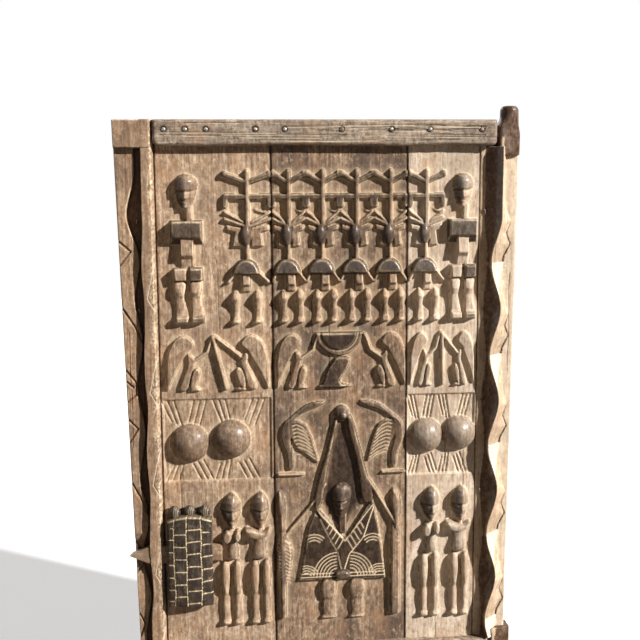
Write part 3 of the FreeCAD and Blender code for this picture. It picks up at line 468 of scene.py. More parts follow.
def standing_figure(carving, box):
    """A figure built of blocks: head, neck, square shoulders, waist, hips and bent legs."""
    head(carving, inner_box(box, 0.10, 0.88, 0.772, 1.00), standing_rise * 1.1, round_head_shares,
         0.9, 0.10)
    profiled(carving, inner_box(box, 0.44, 0.70, 0.66, 0.80), ((0, 0.45), (1, 0.55)),
             standing_rise, side=4)
    wedge(carving, inner_box(box, -0.04, 1.00, 0.530, 0.690), standing_rise * 1.05,
          (5, 3, 19, 2.5), tilt=(-1, 3), stain=0.95)
    profiled(carving, inner_box(box, 0.26, 0.72, 0.37, 0.58),
             ((0.00, 0.18), (0.30, 0.50), (0.44, 1.00), (1.00, 0.72)), standing_rise * 0.95,
             lean=-3)
    for left_share, right_share, stain in ((0.03, 0.49, 0.12), (0.54, 1.00, 0.95)):
        hip = inner_box(box, left_share, right_share, 0.283, 0.378)
        form(carving, spread(hip, [(0.04, 0), (0.96, 0.02), (1, 1), (0, 0.97)]),
             standing_rise * 0.9, side=2.6, crown=1, tilt=(-5, 4), stain=stain)
        leg = inner_box(box, left_share + 0.01, right_share - 0.03, 0.00, 0.287)
        limb(carving, leg, thigh_shares, thigh_profile_shares, standing_rise * 0.85, lean=-4,
             stain=0.10)
        toes = inner_box(leg, 0.06, 1.12, 0.0, 0.17)
        form(carving, spread(toes, [(0, 0), (1, 0), (0.98, 1), (0.02, 1)]), standing_rise * 0.85,
             side=2.4, crown=2, tilt=(-3, 3), stain=stain * 0.85)


def mask(carving, box, middle, reach):
    """The tall mask of a dancer: a post with rows of cross bars over the dancer's head."""
    level = heights_in(box)
    for side in (-1, 1):
        end = middle + side * reach
        arm = [(middle, level(0.932)), (end - side * 4, level(0.982))]
        bar(carving, arm, 13.5, mask_rise, side=2.2, stain=0.8)
        ball(carving, end - side * 2, level(0.984), 8.5, 9, mask_rise * 1.15, stain=0.8, power=2.6)
        hook = [(middle, level(0.838)), (end - side * 4, level(0.842)),
                (end - side * 3, level(0.782))]
        bar(carving, hook, 14.5, mask_rise, side=2.2, stain=0.85)
        upper = [(middle + side * 10, level(0.672)), (end - side * 2, level(0.738))]
        bar(carving, upper, 8.5, mask_rise * 0.8, side=2.0, stain=0.4)
        lower = [(middle, level(0.642)), (end - side * 2, level(0.694))]
        bar(carving, lower, 10.0, mask_rise * 0.95, side=2.0, stain=0.4)
        if side > 0:
            fold = [(middle + 10, level(0.765)), (end - 2, level(0.738)), (end - 2, level(0.715)),
                    (middle + 24, level(0.735))]
            form(carving, fold, mask_rise * 0.55, side=3, stain=0.45)
    post = [(middle, level(0.66)), (middle, level(1.0))]
    bar(carving, post, 14.0, mask_rise * 1.15, side=2.4, stain=0.3)


def dancer(carving, box, middle_share=0.5, reach_share=0.46, leg_spread=43.0, body_shift=6.0,
           widest=41.0):
    """A masked dancer with a domed cape, a narrow waist and bent legs."""
    left, right, foot, top = box
    middle = left + middle_share * (right - left)
    reach = reach_share * (right - left)
    body = min(reach, widest)
    level = heights_in(box)
    for side in (-1, 1):
        inner = middle + side * 7
        outer = middle + side * reach * 0.93
        skirt = [(inner + (outer - inner) * (1 - u), level(0.508 + 0.15 * v))
                 for u, v in skirt_shares]
        form(carving, skirt, mask_rise * 0.75, side=2.2, tilt=(1.5, -1.0), stain=0.25)
    mask(carving, box, middle, reach)
    ball(carving, middle - 5, level(0.588), 14.5, (top - foot) * 0.078, dancer_rise * 0.85,
         stain=0.95, power=2.2)
    bar(carving, [(middle - 1, level(0.52)), (middle - 1, level(0.42))], 12, mask_rise, side=2.5,
        stain=0.1)
    for side in (-1, 1):
        shoulder = middle - 3 + side * body * 0.62
        hand = middle + side * min(reach * 0.97, widest + 8)
        bar(carving, [(shoulder, level(0.352)), (hand, level(0.283))], 11, dancer_rise * 0.62,
            side=3.0, stain=0.10 if side > 0 else 0.3)
    cape = inner_box((middle - body * 0.98, middle + body * 0.74, foot, top), 0, 1, 0.325, 0.438)
    dome = arc_places((cape[0] + cape[1]) / 2, cape[2], (cape[1] - cape[0]) / 2, cape[3] - cape[2],
                      0, 180, 12)
    form(carving, dome, dancer_rise * 1.05, side=6, crown=2, tilt=(3, -3), stain=1.0)
    trunk = (middle + body_shift - 12, middle + body_shift + 11, level(0.212), level(0.345))
    profiled(carving, trunk, ((0.0, 0.30), (0.30, 0.50), (0.42, 1.0), (1.0, 0.75)),
             dancer_rise * 0.85, lean=-3, stain=0.10)
    for side in (-1, 1):
        leg = middle + body_shift + side * leg_spread / 2
        shape = (leg - 9.5, leg + 9.5, level(0.0), level(0.232))
        limb(carving, shape, bent_leg_shares, leg_profile_shares, dancer_rise * 0.9, lean=-4,
             stain=0.08)


def kneeling_figure(carving, box, facing_right=True, arm_shares=kneeling_arm_shares):
    """A kneeling figure under a long cape of hair, with one arm raised."""
    def turned(shares):
        return spread(box, shares if facing_right else mirrored(shares))

    form(carving, softened(turned(kneeling_lobe_shares)), kneeling_rise * 1.1, side=2.6,
         tilt=(-2, 1.5), stain=0.22)
    form(carving, softened(turned(kneeling_torso_shares), 1), kneeling_rise, side=2.4, stain=0.30)
    form(carving, softened(turned(kneeling_thigh_shares)), kneeling_rise * 1.2, side=2.2,
         stain=0.35)
    form(carving, turned(kneeling_foot_shares), kneeling_rise, side=2.2, stain=0.35)
    bar(carving, turned(arm_shares), 9.5, kneeling_rise, side=2.4, stain=0.2)


def kneeling_pair(carving, box, apex=0.465, lean=0.11):
    """Two kneeling figures face to face with a pestle between them."""
    kneeling_figure(carving, inner_box(box, 0.00, 0.50, 0, 1), True)
    kneeling_figure(carving, inner_box(box, 0.50, 1.00, 0, 1), False, joined_arm_shares)
    bar(carving, spread(box, [(apex - 0.01, 0.95), (apex + lean, 0.05)]), 12.5,
        kneeling_rise * 1.3, side=3.4, stain=0.25)


def bowl_bearers(carving, box):
    """Two kneeling figures who hold a bowl over a mortar."""
    kneeling_figure(carving, inner_box(box, 0.00, 0.36, 0, 1), True)
    kneeling_figure(carving, inner_box(box, 0.66, 1.02, 0, 1), False)
    left, right, foot, top = box
    middle = left + 0.49 * (right - left)
    reach = 0.185 * (right - left)
    depth = top - foot
    outer = arc_places(middle, top, reach, depth * 0.42, 180, 360, 14)
    inner = arc_places(middle, top, reach * 0.76, depth * 0.31, 180, 360, 14)
    form(carving, outer, kneeling_rise, side=3, stain=0.55)
    form(carving, inner, kneeling_rise * 1.5, side=3, stain=1.0)
    score(carving, arc_places(middle, top, reach * 0.80, depth * 0.33, 182, 358, 14), 3.4, 1.6)
    outlined(carving, box, mortar_shares, kneeling_rise * 1.3, side=4, crown=2, stain=0.85)


def couple_figure(carving, box, is_woman):
    """A standing figure of a couple: she has breasts, and the other holds an arm across."""
    across = (0.15, 0.98) if is_woman else (0.12, 0.94)
    trunk_box = (0.40, 0.87, 0.488, 0.70) if is_woman else (0.20, 0.83, 0.486, 0.70)
    trunk = inner_box(box, *trunk_box)
    limb(carving, trunk, trunk_shares, body_profile_shares, couple_rise * 0.85, side=4, lean=-4,
         crown=0.5, stain=0.45)
    profiled(carving, inner_box(box, 0.46, 0.68, 0.66, 0.77), ((0, 0.5), (1, 0.5)),
             couple_rise * 0.9)
    head(carving, inner_box(box, *across, 0.727, 0.985), couple_rise * 1.15, long_head_shares, 0.9,
         0.30, 0.58)
    if is_woman:
        for left_share, right_share, foot_share in ((0.17, 0.64, 0.612), (0.64, 1.01, 0.622)):
            breast = inner_box(box, left_share, right_share, foot_share, 0.722)
            outlined(carving, breast, breast_shares, couple_rise, side=5, crown=10, tilt=(-2, -3),
                     stain=0.40)
    else:
        outlined(carving, box, crossed_arm_shares, couple_rise * 1.05, side=5, crown=9, stain=0.35)
    for left_share, right_share in ((0.10, 0.53), (0.60, 1.00)):
        leg = inner_box(box, left_share, right_share, 0.00, 0.490)
        limb(carving, leg, couple_leg_shares, couple_leg_profile_shares, couple_rise * 0.85,
             side=4, lean=-5, crown=0.45, stain=0.22)


# The first rib of a wing: shares of the box, how each grows with every rib, and how far it drops.
first_rib_places = ((0.140, 0.878, 0.004, 1), (0.170, 0.884, 0.004, 1.04),
                    (0.215, 0.872, 0.006, 1.06), (0.250, 0.850, 0.0085, 1.06))
rib_count = 9
rib_pitch_share = 0.0158


def bird(carving, box, shift=None):
    """A long-beaked bird with a ribbed wing, on a perch."""
    def turned(shares):
        return spread(box, shares if shift is None else mirrored(shares, shift))

    form(carving, turned([(u - 0.014 * (u < 0.16), v) for u, v in bird_wing_shares]),
         procession_rise * 0.6, side=2.0, stain=0.6)
    form(carving, softened(turned(bird_body_shares), 1), procession_rise * 0.75, side=2.6, crown=2,
         stain=0.65)
    for rib in range(rib_count):
        line = [(u + rib * widening, v - rib * rib_pitch_share * drop)
                for u, v, widening, drop in first_rib_places]
        score(carving, turned(line), 4.2, 2.2, pale=0.75)
    bar(carving, turned([(0.030, 0.667), (0.215, 0.665)]), 9, procession_rise * 0.8, side=3)


def robe(carving, box):
    """The robe of the tall figure: dark cloth cut with fans of pale arcs, and a crossed collar."""
    form(carving, spread(box, robe_shares), procession_rise * 0.8, side=3, stain=1.0)
    step = 0.0165 * (box[1] - box[0])
    fans = ((0.472, 0.208, 92, 178, 6, 3.6, 1.45), (0.572, 0.208, 2, 88, 6, 3.6, 1.45),
            (0.236, 0.200, 30, 112, 4, 2.6, 1.15), (0.800, 0.198, 66, 150, 4, 2.6, 1.15),
            (0.296, 0.334, 46, 122, 3, 4.0, 1.35), (0.746, 0.328, 58, 134, 3, 4.0, 1.35))
    for across, up, start, end, count, smallest, pitch in fans:
        middle = spread(box, [(across, up)])[0]
        for ring in range(count):
            reach = step * (smallest + ring * pitch)
            score(carving, arc_places(*middle, reach, reach * 1.04, start, end), 3.4, 1.8, pale=1.0)
    for height in (0.206, 0.221):
        score(carving, spread(box, [(0.185, height), (0.850, height)]), 3.2, 1.6, pale=0.95)
    for line in ([(0.294, 0.486), (0.244, 0.423), (0.200, 0.277), (0.180, 0.200)],
                 [(0.766, 0.500), (0.800, 0.401), (0.834, 0.262), (0.850, 0.195)]):
        score(carving, spread(box, line), 2.8, 1.2, pale=0.5)
    form(carving, spread(box, collar_shares), procession_rise * 0.95, side=2.4, stain=0.95)
    inner_lines = ([(0.315, 0.509), (0.534, 0.366)], [(0.746, 0.524), (0.534, 0.366)])
    for line in (*inner_lines, [(0.345, 0.466), (0.418, 0.378), (0.474, 0.322), (0.505, 0.240)],
                 [(0.754, 0.515), (0.676, 0.380), (0.566, 0.304), (0.530, 0.240)]):
        score(carving, spread(box, line), 3.8, 1.8, pale=1.0)
    for line, way in zip(inner_lines, (-1, 1)):
        for share, length in ((0.46, 0.030), (0.58, 0.037), (0.70, 0.044), (0.82, 0.046),
                              (0.94, 0.046)):
            u = line[0][0] + share * (line[1][0] - line[0][0])
            v = line[0][1] + share * (line[1][1] - line[0][1])
            score(carving, spread(box, [(u, v), (u + way * length, v - length)]), 3.2, 1.6,
                  pale=1.0)
    knot = spread(box, [(0.513, 0.216)])[0]
    ball(carving, *knot, 22, 13, procession_rise * 1.7, stain=0.85, power=3)


def procession(carving, box):
    """The tall robed figure with joined raised hands, two birds and two side figures."""
    bird(carving, box)
    bird(carving, box, shift=0.034)
    shade = spread(box, shade_shares)
    place, x, z = carving.patch(*extent(shade))
    inside = depth_inside(shade, x, z)
    carving.stain[place] = np.maximum(carving.stain[place], 0.95 * np.clip(inside / 10, 0, 1))
    robe(carving, box)
    bar(carving, spread(box, [(0.381, 0.617), (0.290, 0.540), (0.070, 0.393)]), 9.5,
        procession_rise * 0.9, side=3.2, stain=0.15)
    for arm in (left_arm_shares, right_arm_shares):
        outlined(carving, box, arm, procession_rise, side=5, crown=3, tilt=(-1, 0), stain=0.8)
    bar(carving, spread(box, [(0.660, 0.675), (0.778, 0.574), (0.925, 0.430)]), 13,
        procession_rise * 0.95, side=3.4, stain=0.2)
    knob = spread(box, [(0.508, 0.928)])[0]
    ball(carving, *knob, 20, 22, procession_rise * 1.3, stain=0.85, power=2.4)
    ball(carving, knob[0] + 4, knob[1] - 3, 12, 12, procession_rise * 1.9, stain=0.95)
    profiled(carving, inner_box(box, 0.484, 0.548, 0.400, 0.49), ((0, 0.9), (1, 0.9)),
             procession_rise, stain=0.85)
    head(carving, inner_box(box, 0.430, 0.588, 0.470, 0.622), procession_rise * 1.8,
         round_head_shares, 1.0, 0.85)
    for left_share, right_share, stain in ((0.004, 0.092, 0.12), (0.866, 0.978, 0.15)):
        club = inner_box(box, left_share, right_share, 0.390, 0.600)
        outlined(carving, club, club_shares, procession_rise * 1.15, side=9, crown=4, tilt=(-3, 0),
                 stain=stain)
    leaf = inner_box(box, 0.004, 0.134, 0.175, 0.392)
    outlined(carving, leaf, leaf_shares, procession_rise * 1.1, side=5, crown=3, stain=0.30)
    for index in range(12):
        level = 0.93 - index * 0.075
        score(carving, spread(leaf, [(0.12, level), (0.45, level - 0.03)]), 3.0, 1.8, pale=0.8)
        score(carving, spread(leaf, [(0.50, level + 0.01), (0.88, level - 0.09)]), 3.0, 1.8,
              pale=0.9)
    for left_share, right_share in ((0.035, 0.085), (0.884, 0.962)):
        profiled(carving, inner_box(box, left_share, right_share, 0.02, 0.44),
                 ((0, 0.8), (0.3, 1.0), (0.8, 1.0), (1.0, 0.5)), procession_rise * 1.2, side=4,
                 lean=-2)
    for notch in range(5):
        height = 0.385 - 0.020 * notch
        line = spread(box, [(0.930, height), (0.962, height + 0.004)])
        score(carving, line, 3, 1.6, pale=0.0, stain=0.8)
    for left_share, right_share in ((0.34, 0.47), (0.56, 0.69)):
        leg = inner_box(box, left_share, right_share, 0.01, 0.20)
        limb(carving, leg, couple_leg_shares, couple_leg_profile_shares, procession_rise * 1.3,
             side=4, lean=-3, stain=0.2)


# Fans of grooves in the breast panels: where each group starts at the edge and where it ends.
top_fan_shares = ((-0.015, 0.075), (0.280, 0.230), (0.455, 0.530), (0.820, 0.745))
foot_fan_shares = ((0.015, 0.090), (0.335, 0.262), (0.468, 0.520), (0.765, 0.690))
fan_pitch_share = 0.056
fan_reach_shares = (0.25, 0.19)


def breast_panel(carving, box, radius, places):
    """A sunk panel with fans of grooves around two swellings."""
    place, x, z = carving.patch(*box)
    sunk = np.clip(inside_box(box, x, z) / panel_edge_run, 0, 1)
    carving.height[place] -= panel_recess * sunk
    for fans, edge, reach, way in ((top_fan_shares, 0.975, fan_reach_shares[0], -1),
                                   (foot_fan_shares, 0.02, fan_reach_shares[1], 1)):
        for start, end in fans:
            for line in range(3):
                shift = line * fan_pitch_share
                drop = reach * (1 + 0.12 * line)
                groove = [(start + shift, edge), (end + shift * 0.85, edge + way * drop)]
                score(carving, spread(box, groove), 5.2, 3.6, pale=0.7, stain=0.2)
    for middle in spread(box, places):
        ball(carving, *middle, radius, radius, breast_rise, stain=0.55, ground=-panel_recess,
             power=1.65)


def weathered(carving, tool_marks=0.5, grain=0.22, cracks=3, level=False, fleck=0.16):
    """Tool marks, raised grain, worn edges and drying cracks over the whole face."""
    left, right, foot, top = carving.box
    carving.height = blur(carving.height, 0.45)
    carving.height += tool_marks * carving.noise(26, 46) + 0.35 * tool_marks * carving.noise(11, 19)
    carving.height += fleck * carving.noise(4.4, 5.6) + 0.6 * fleck * carving.noise(8.5, 9.5)
    for fine, long in ((3.0, 90), (5.5, 240)):
        carving.height += grain * (carving.noise(long, fine) if level
                                   else carving.noise(fine, long))
    for _ in range(cracks):
        start = carving.random.uniform(left + 12, right - 12)
        low = carving.random.uniform(foot, top - 300)
        length = carving.random.uniform(120, 420)
        places = [(start + carving.random.uniform(-2, 2), low + length * step / 6)
                  for step in range(7)]
        score(carving, places, 2.6, 1.5, pale=0.0, stain=0.8)


def edges_eased(carving, run, drop):
    """Rounds the rim of the face over its sides."""
    ends = np.minimum(carving.z - carving.up[0], carving.up[-1] - carving.z)
    rim = np.minimum(carving.from_sides(), ends)
    carving.height -= drop * np.clip(1 - rim / run, 0, 1) ** 2


# Meshes.
def border(columns, rows, start=0):
    """Indices round a grid's rim, with how far round each lies: a whole number at each corner."""
    grid = np.arange(columns * rows).reshape(rows, columns) + start
    loop = []
    for side, line in enumerate((grid[0, :-1], grid[:-1, -1], grid[-1, :0:-1], grid[:0:-1, 0])):
        loop += [(int(index), side + place / len(line)) for place, index in enumerate(line)]
    return loop


def zipped(first, second):
    """Triangles between two closed loops that start at the same corner."""
    faces = []
    i = j = 0
    count_i, count_j = len(first), len(second)
    while i < count_i or j < count_j:
        next_i = first[i + 1][1] if i + 1 < count_i else 4.0
        next_j = second[j + 1][1] if j + 1 < count_j else 4.0
        a, b = first[i % count_i][0], second[j % count_j][0]
        if i < count_i and (next_i <= next_j or j >= count_j):
            faces.append((a, b, first[(i + 1) % count_i][0]))
            i += 1
        else:
            faces.append((a, b, second[(j + 1) % count_j][0]))
            j += 1
    return faces


def grid_faces(columns, rows, start=0, flip=False):
    grid = np.arange(columns * rows).reshape(rows, columns) + start
    quads = np.stack([grid[:-1, :-1], grid[:-1, 1:], grid[1:, 1:], grid[1:, :-1]], axis=-1)
    quads = quads.reshape(-1, 4)
    return quads[:, ::-1].tolist() if flip else quads.tolist()


def make_object(name, points, faces, marks, smooth_count):
    """An object from points in millimetres. The first faces are smooth and the rest are flat.

    Its marks are edge wear, dirt and painted shade, stain and painted shade, and dust and painted
    highlight for each point.
    """
    mesh = bpy.data.meshes.new(name)
    mesh.from_pydata((np.asarray(points) * metre).tolist(), [], faces)
    smooth = np.zeros(len(faces), bool)
    smooth[:smooth_count] = True
    mesh.polygons.foreach_set("use_smooth", smooth)
    marks = np.array(marks, np.float32)
    # The fourth mark is pale dust and painted highlight.
    dust_and_highlight = mesh.attributes.new("dust_and_highlight", "FLOAT", "POINT")
    dust_and_highlight.data.foreach_set("value", marks[:, 3].copy())
    marks[:, 3] = 1
    layer = mesh.attributes.new("marks", "FLOAT_COLOR", "POINT")
    layer.data.foreach_set("color", marks.ravel())
    mesh.update()
    made = bpy.data.objects.new(name, mesh)
    bpy.context.scene.collection.objects.link(made)
    return made


def curve_through(places, at):
    """Values that ease from each place to the next, for pairs of place and value."""
    at = np.asarray(at, float)
    starts = np.array([place for place, value in places])
    values = np.array([value for place, value in places])
    index = np.clip(np.searchsorted(starts, at, side="right") - 1, 0, len(starts) - 2)
    share = np.clip((at - starts[index]) / (starts[index + 1] - starts[index]), 0, 1)
    share = share * share * (3 - 2 * share)
    return values[index] * (1 - share) + values[index + 1] * share


def fit_between(carving, foot_line, top_line):
    """Bends the grid so that its foot and top follow two lines."""
    share = (carving.z - carving.up[0]) / (carving.up[-1] - carving.up[0])
    carving.z = foot_line + share * (top_line - foot_line)


def worn_marks(carving):
    """Edge wear, dirt and painted shade in hollows, stain and painted shade, and pale dust with a
    painted highlight at the foot of forms, read from the heights.
    """
    near = carving.height - blur(carving.height, 1.3)
    wide = carving.height - blur(carving.height, 5.0)
    edge = np.clip((near - 0.6) / 1.7, 0, 1) * 0.8 + np.clip((wide - 2.0) / 7.0, 0, 1) * 0.10
    bare = (carving.height < 2.0) & (carving.stain < 0.1)
    # Painted highlight: a pale halo on the bare ground at the foot of raised forms, where the
    # rising ground catches the light.
    foot_of_form = np.clip((-near - 0.25) / 1.4, 0, 1) * bare
    broad = np.clip((-wide - 0.5) / 3.0, 0, 1) * bare
    foot_of_form = np.maximum(foot_of_form, 0.6 * broad * carving.straight)
    # Dirt and painted shade in hollows, lighter where the painted halo lies.
    dirt_and_shade = np.clip((-near - 0.7) / 2.2, 0, 1) * 0.35 + np.clip((-wide - 1.6) / 6.0, 0, 1) * 0.35
    dirt_and_shade *= 1 - 0.8 * foot_of_form
    pale = np.maximum(carving.pale, 0.46 * foot_of_form * carving.straight)
    stain = blur(carving.stain, 0.6)
    return np.stack([edge, dirt_and_shade, stain, pale], axis=-1)


back_pitch = 9.0


def carved_timber(carving, back=board_back, back_wave=0.35):
    """Points, faces, marks and smooth faces of a timber: carving, straight sides, adzed back."""
    rows, columns = carving.x.shape
    front_points = np.stack([carving.x, board_front - carving.height, carving.z], axis=-1)
    back_rows = round((carving.box[3] - carving.box[2]) / back_pitch) + 1
    back_columns = max(3, round((carving.box[1] - carving.box[0]) / back_pitch) + 1)
    row_places = np.round(np.linspace(0, rows - 1, back_rows)).astype(int)
    column_places = np.round(np.linspace(0, columns - 1, back_columns)).astype(int)
    back_x = carving.x[np.ix_(row_places, column_places)]
    back_z = carving.z[np.ix_(row_places, column_places)]
    dip = smooth_noise(back_x, back_z, 34, 60, carving.random)
    ripple = smooth_noise(back_x, back_z, 22, 27, carving.random)
    back_y = back - back_wave * (1 + 0.6 * dip + 0.4 * ripple)
    back_points = np.stack([back_x, back_y, back_z], axis=-1)
    points = np.concatenate([front_points.reshape(-1, 3), back_points.reshape(-1, 3)])
    offset = rows * columns
    faces = grid_faces(columns, rows)
    faces += grid_faces(back_columns, back_rows, offset, flip=True)
    smooth_count = len(faces)
    faces += zipped(border(columns, rows), border(back_columns, back_rows, offset))
    marks = np.zeros((len(points), 4))
    marks[:offset] = worn_marks(carving).reshape(-1, 4)
    marks[offset:, 1] = np.clip(-dip, 0, 1).ravel() * 0.5
    marks[offset:, 0] = np.clip(dip, 0, 1).ravel() * 0.3
    return points, faces, marks, smooth_count


def ring_faces(rings, sides, flip=False):
    """Faces round a stack of rings and over its two ends, and how many of them are smooth."""
    faces = []
    for ring in range(rings - 1):
        for step in range(sides):
            a = ring * sides + step
            b = ring * sides + (step + 1) % sides
            faces.append((a, b, b + sides, a + sides))
    smooth_count = len(faces)
    faces.append(tuple(range(sides))[::-1])
    faces.append(tuple(range((rings - 1) * sides, rings * sides)))
    return [face[::-1] for face in faces] if flip else faces, smooth_count


def joined(name, parts):
    """One object from several sets of points, faces, marks and smooth faces."""
    points, smooth, flat, marks = [], [], [], []
    start = 0
    for part_points, part_faces, part_marks, smooth_count in parts:
        for index, face in enumerate(part_faces):
            (smooth if index < smooth_count else flat).append(tuple(place + start
                                                                    for place in face))
        points.append(np.asarray(part_points))
        marks.append(np.asarray(part_marks))
        start += len(part_points)
    return make_object(name, np.concatenate(points), smooth + flat, np.concatenate(marks),
                       len(smooth))


def applied(piece):
    """The piece with its modifiers worked into its mesh."""
    graph = bpy.context.evaluated_depsgraph_get()
    mesh = bpy.data.meshes.new_from_object(piece.evaluated_get(graph))
    piece.modifiers.clear()
    piece.data = mesh
    return piece


def united(piece, other):
    """Two objects made into one."""
    both = [piece, other]
    with bpy.context.temp_override(active_object=piece, object=piece, selected_objects=both,
                                   selected_editable_objects=both):
        bpy.ops.object.join()
    return piece


def cut_out(piece, boxes):
    """Cuts boxes out of a closed mesh."""
    for low, high in boxes:
        corners = [(x, y, z) for x in (low[0], high[0]) for y in (low[1], high[1])
                   for z in (low[2], high[2])]
        faces = [(0, 1, 3, 2), (4, 6, 7, 5), (0, 4, 5, 1), (2, 3, 7, 6), (0, 2, 6, 4), (1, 5, 7, 3)]
        tool = make_object("cutting_tool", corners, faces, np.zeros((len(corners), 4)), 0)
        change = piece.modifiers.new("cut", "BOOLEAN")
        change.operation = "DIFFERENCE"
        change.object = tool
        change.solver = "EXACT"
        applied(piece)
        bpy.data.objects.remove(tool)
    return piece


# Materials.
def linear(red, green, blue):
    """A colour as it looks on a screen, 0 to 255, as the shader wants it."""
    def one(value):
        value /= 255
        return value / 12.92 if value <= 0.04045 else ((value + 0.055) / 1.055) ** 2.4
    return one(red), one(green), one(blue), 1.0


class Shader:
    """A material's node tree, with short ways to add its nodes."""

    def __init__(self, name):
        self.material = bpy.data.materials.new(name)
        self.material.use_nodes = True
        self.tree = self.material.node_tree
        self.surface = self.tree.nodes["Principled BSDF"]
        self.place = self.node("ShaderNodeTexCoord").outputs["Object"]

    def plug(self, socket, value):
        """Links another node's output to a socket, or sets the socket to a value."""
        if hasattr(value, "is_linked"):
            self.tree.links.new(value, socket)
        else:
            socket.default_value = value

    def node(self, kind, **values):
        made = self.tree.nodes.new(kind)
        for key, value in values.items():
            if key in made.inputs:
                self.plug(made.inputs[key], value)
            else:
                setattr(made, key, value)
        return made

    def noise(self, stretch, detail=4.0, roughness=0.55):
        """Noise whose features repeat about once per metre divided by the stretch."""
        mapped = self.node("ShaderNodeMapping", Vector=self.place, Scale=stretch)
        return self.node("ShaderNodeTexNoise", Vector=mapped.outputs[0], Scale=1.0, Detail=detail,
                         Roughness=roughness).outputs["Fac"]

    def ramp(self, value, *stops):
        """Colours over a value, as pairs of place and colour."""
        made = self.node("ShaderNodeValToRGB", Fac=value)
        steps = made.color_ramp.elements
        while len(steps) < len(stops):
            steps.new(0.5)
        for step, (place, colour) in zip(steps, stops):
            step.position = place
            step.color = colour
        return made.outputs["Color"]

    def grey_ramp(self, value, *stops):
        return self.ramp(value, *[(place, (grey, grey, grey, 1.0)) for place, grey in stops])

    def mix(self, share, first, second):
        """One colour over another, by a share from 0 to 1."""
        made = self.node("ShaderNodeMix", data_type="RGBA")
        for index, value in ((0, share), (6, first), (7, second)):
            self.plug(made.inputs[index], value)
        return made.outputs[2]

    def maths(self, operation, first, second, clamp=False):
        made = self.node("ShaderNodeMath", operation=operation, use_clamp=clamp)
        self.plug(made.inputs[0], first)
        self.plug(made.inputs[1], second)
        return made.outputs[0]

    def bump(self, height, strength, distance, **below):
        """Small unevenness, over a normal that lies below it."""
        made = self.node("ShaderNodeBump", Height=height, Strength=strength, Distance=distance,
                         **below)
        return made.outputs["Normal"]

    def finish(self, **inputs):
        """The material, once its surface has these inputs. An underscore stands for a space."""
        for key, value in inputs.items():
            self.plug(self.surface.inputs[key.replace("_", " ")], value)
        return self.material


upright_grain = (1.0, 1.0, 0.055)
level_grain = (0.055, 1.0, 1.0)


warm_patch = linear(186, 144, 108)
dirt_and_shade_colour = linear(42, 24, 14)


def wood(name, *colours, patina_share=0.5, grain=upright_grain, gloss=0.5, contrast=1.0,
         warm_share=0.46):
    """Old oiled wood: grain, blotches of patina, worn edges, dirt and stain from the carving.

    The colours are those of dark, middle and light grain, of stain and painted shade, wear, dust
    and painted highlight, and patina.
    """
    dark, middle, light, stained, worn, dust_and_highlight, patina = (linear(*colour) for colour in colours)
    shader = Shader(name)
    marks = shader.node("ShaderNodeAttribute", attribute_name="marks")
    parts = shader.node("ShaderNodeSeparateColor", Color=marks.outputs["Color"])
    edge, dirt_and_shade, stain = parts.outputs[0], parts.outputs[1], parts.outputs[2]
    fibre = shader.noise(tuple(520 * share for share in grain), 5.0, 0.62)
    streak = shader.noise(tuple(150 * share for share in grain), 4.0, 0.6)
    blotch = shader.noise((9, 9, 5.5), 5.0, 0.6)
    speckle = shader.noise((240, 240, 200), 3.0, 0.7)
    mottle = shader.noise((95, 95, 62), 6.0, 0.74)
    coarse = shader.maths("ADD", shader.maths("MULTIPLY", streak, 0.30),
                          shader.maths("MULTIPLY", mottle, 0.48))
    figure = shader.maths("ADD", shader.maths("MULTIPLY", fibre, 0.22), coarse)
    reach = 0.13 / contrast
    colour = shader.ramp(figure, (0.5 - reach, dark), (0.5, middle), (0.5 + reach, light))
    smear = shader.grey_ramp(blotch, (0.42, 0.0), (0.62, patina_share))
    colour = shader.mix(smear, colour, patina)
    warmth = shader.grey_ramp(shader.noise((17, 17, 12), 5.0, 0.68), (0.50, 0.0),
                              (0.68, warm_share))
    colour = shader.mix(warmth, colour, warm_patch)
    fleck = shader.grey_ramp(shader.noise((90, 90, 60), 4.0, 0.7), (0.56, 0.0), (0.72, 0.5))
    colour = shader.mix(fleck, colour, worn)
    stain_colour = shader.mix(shader.grey_ramp(mottle, (0.44, 0.0), (0.70, 0.55)), stained,
                              shader.mix(0.45, stained, middle))
    # Stain and painted shade from the carving.
    colour = shader.mix(shader.maths("MULTIPLY", stain, 0.95, True), colour, stain_colour)
    patchy = shader.grey_ramp(shader.noise((46, 46, 30), 4.0, 0.65), (0.36, 0.05), (0.62, 1.0))
    rubbed = shader.maths("MULTIPLY", shader.maths("MULTIPLY", edge, patchy),
                          shader.grey_ramp(speckle, (0.30, 0.5), (0.62, 1.0)), True)
    colour = shader.mix(rubbed, colour, worn)
    # Dirt and painted shade in hollows.
    colour = shader.mix(shader.maths("MULTIPLY", dirt_and_shade, 0.85, True), colour, dirt_and_shade_colour)
    dust_and_highlight_share = shader.node("ShaderNodeAttribute", attribute_name="dust_and_highlight").outputs["Fac"]
    # Pale dust and painted highlight.
    colour = shader.mix(dust_and_highlight_share, colour, dust_and_highlight)
    roughness = shader.grey_ramp(fibre, (0.3, gloss - 0.04), (0.7, gloss + 0.16))
    roughness = shader.maths("SUBTRACT", roughness, shader.maths("MULTIPLY", stain, 0.20), True)
    forward = shader.node("ShaderNodeSeparateXYZ", Vector=shader.place).outputs["Y"]
    proud = shader.grey_ramp(shader.maths("MULTIPLY", forward, -10.0), (0.19, 0.0), (0.30, 0.9))
    normal = shader.bump(fibre, 0.30, 0.0006)
    normal = shader.bump(mottle, 0.55, 0.0016, Normal=normal)
    normal = shader.bump(speckle, 0.35, 0.0006, Normal=normal)
    return shader.finish(Base_Color=colour, Roughness=roughness, Normal=normal,
                         Specular_IOR_Level=0.14, Coat_Roughness=0.27,
                         Coat_Weight=shader.maths("MULTIPLY", proud, stain))


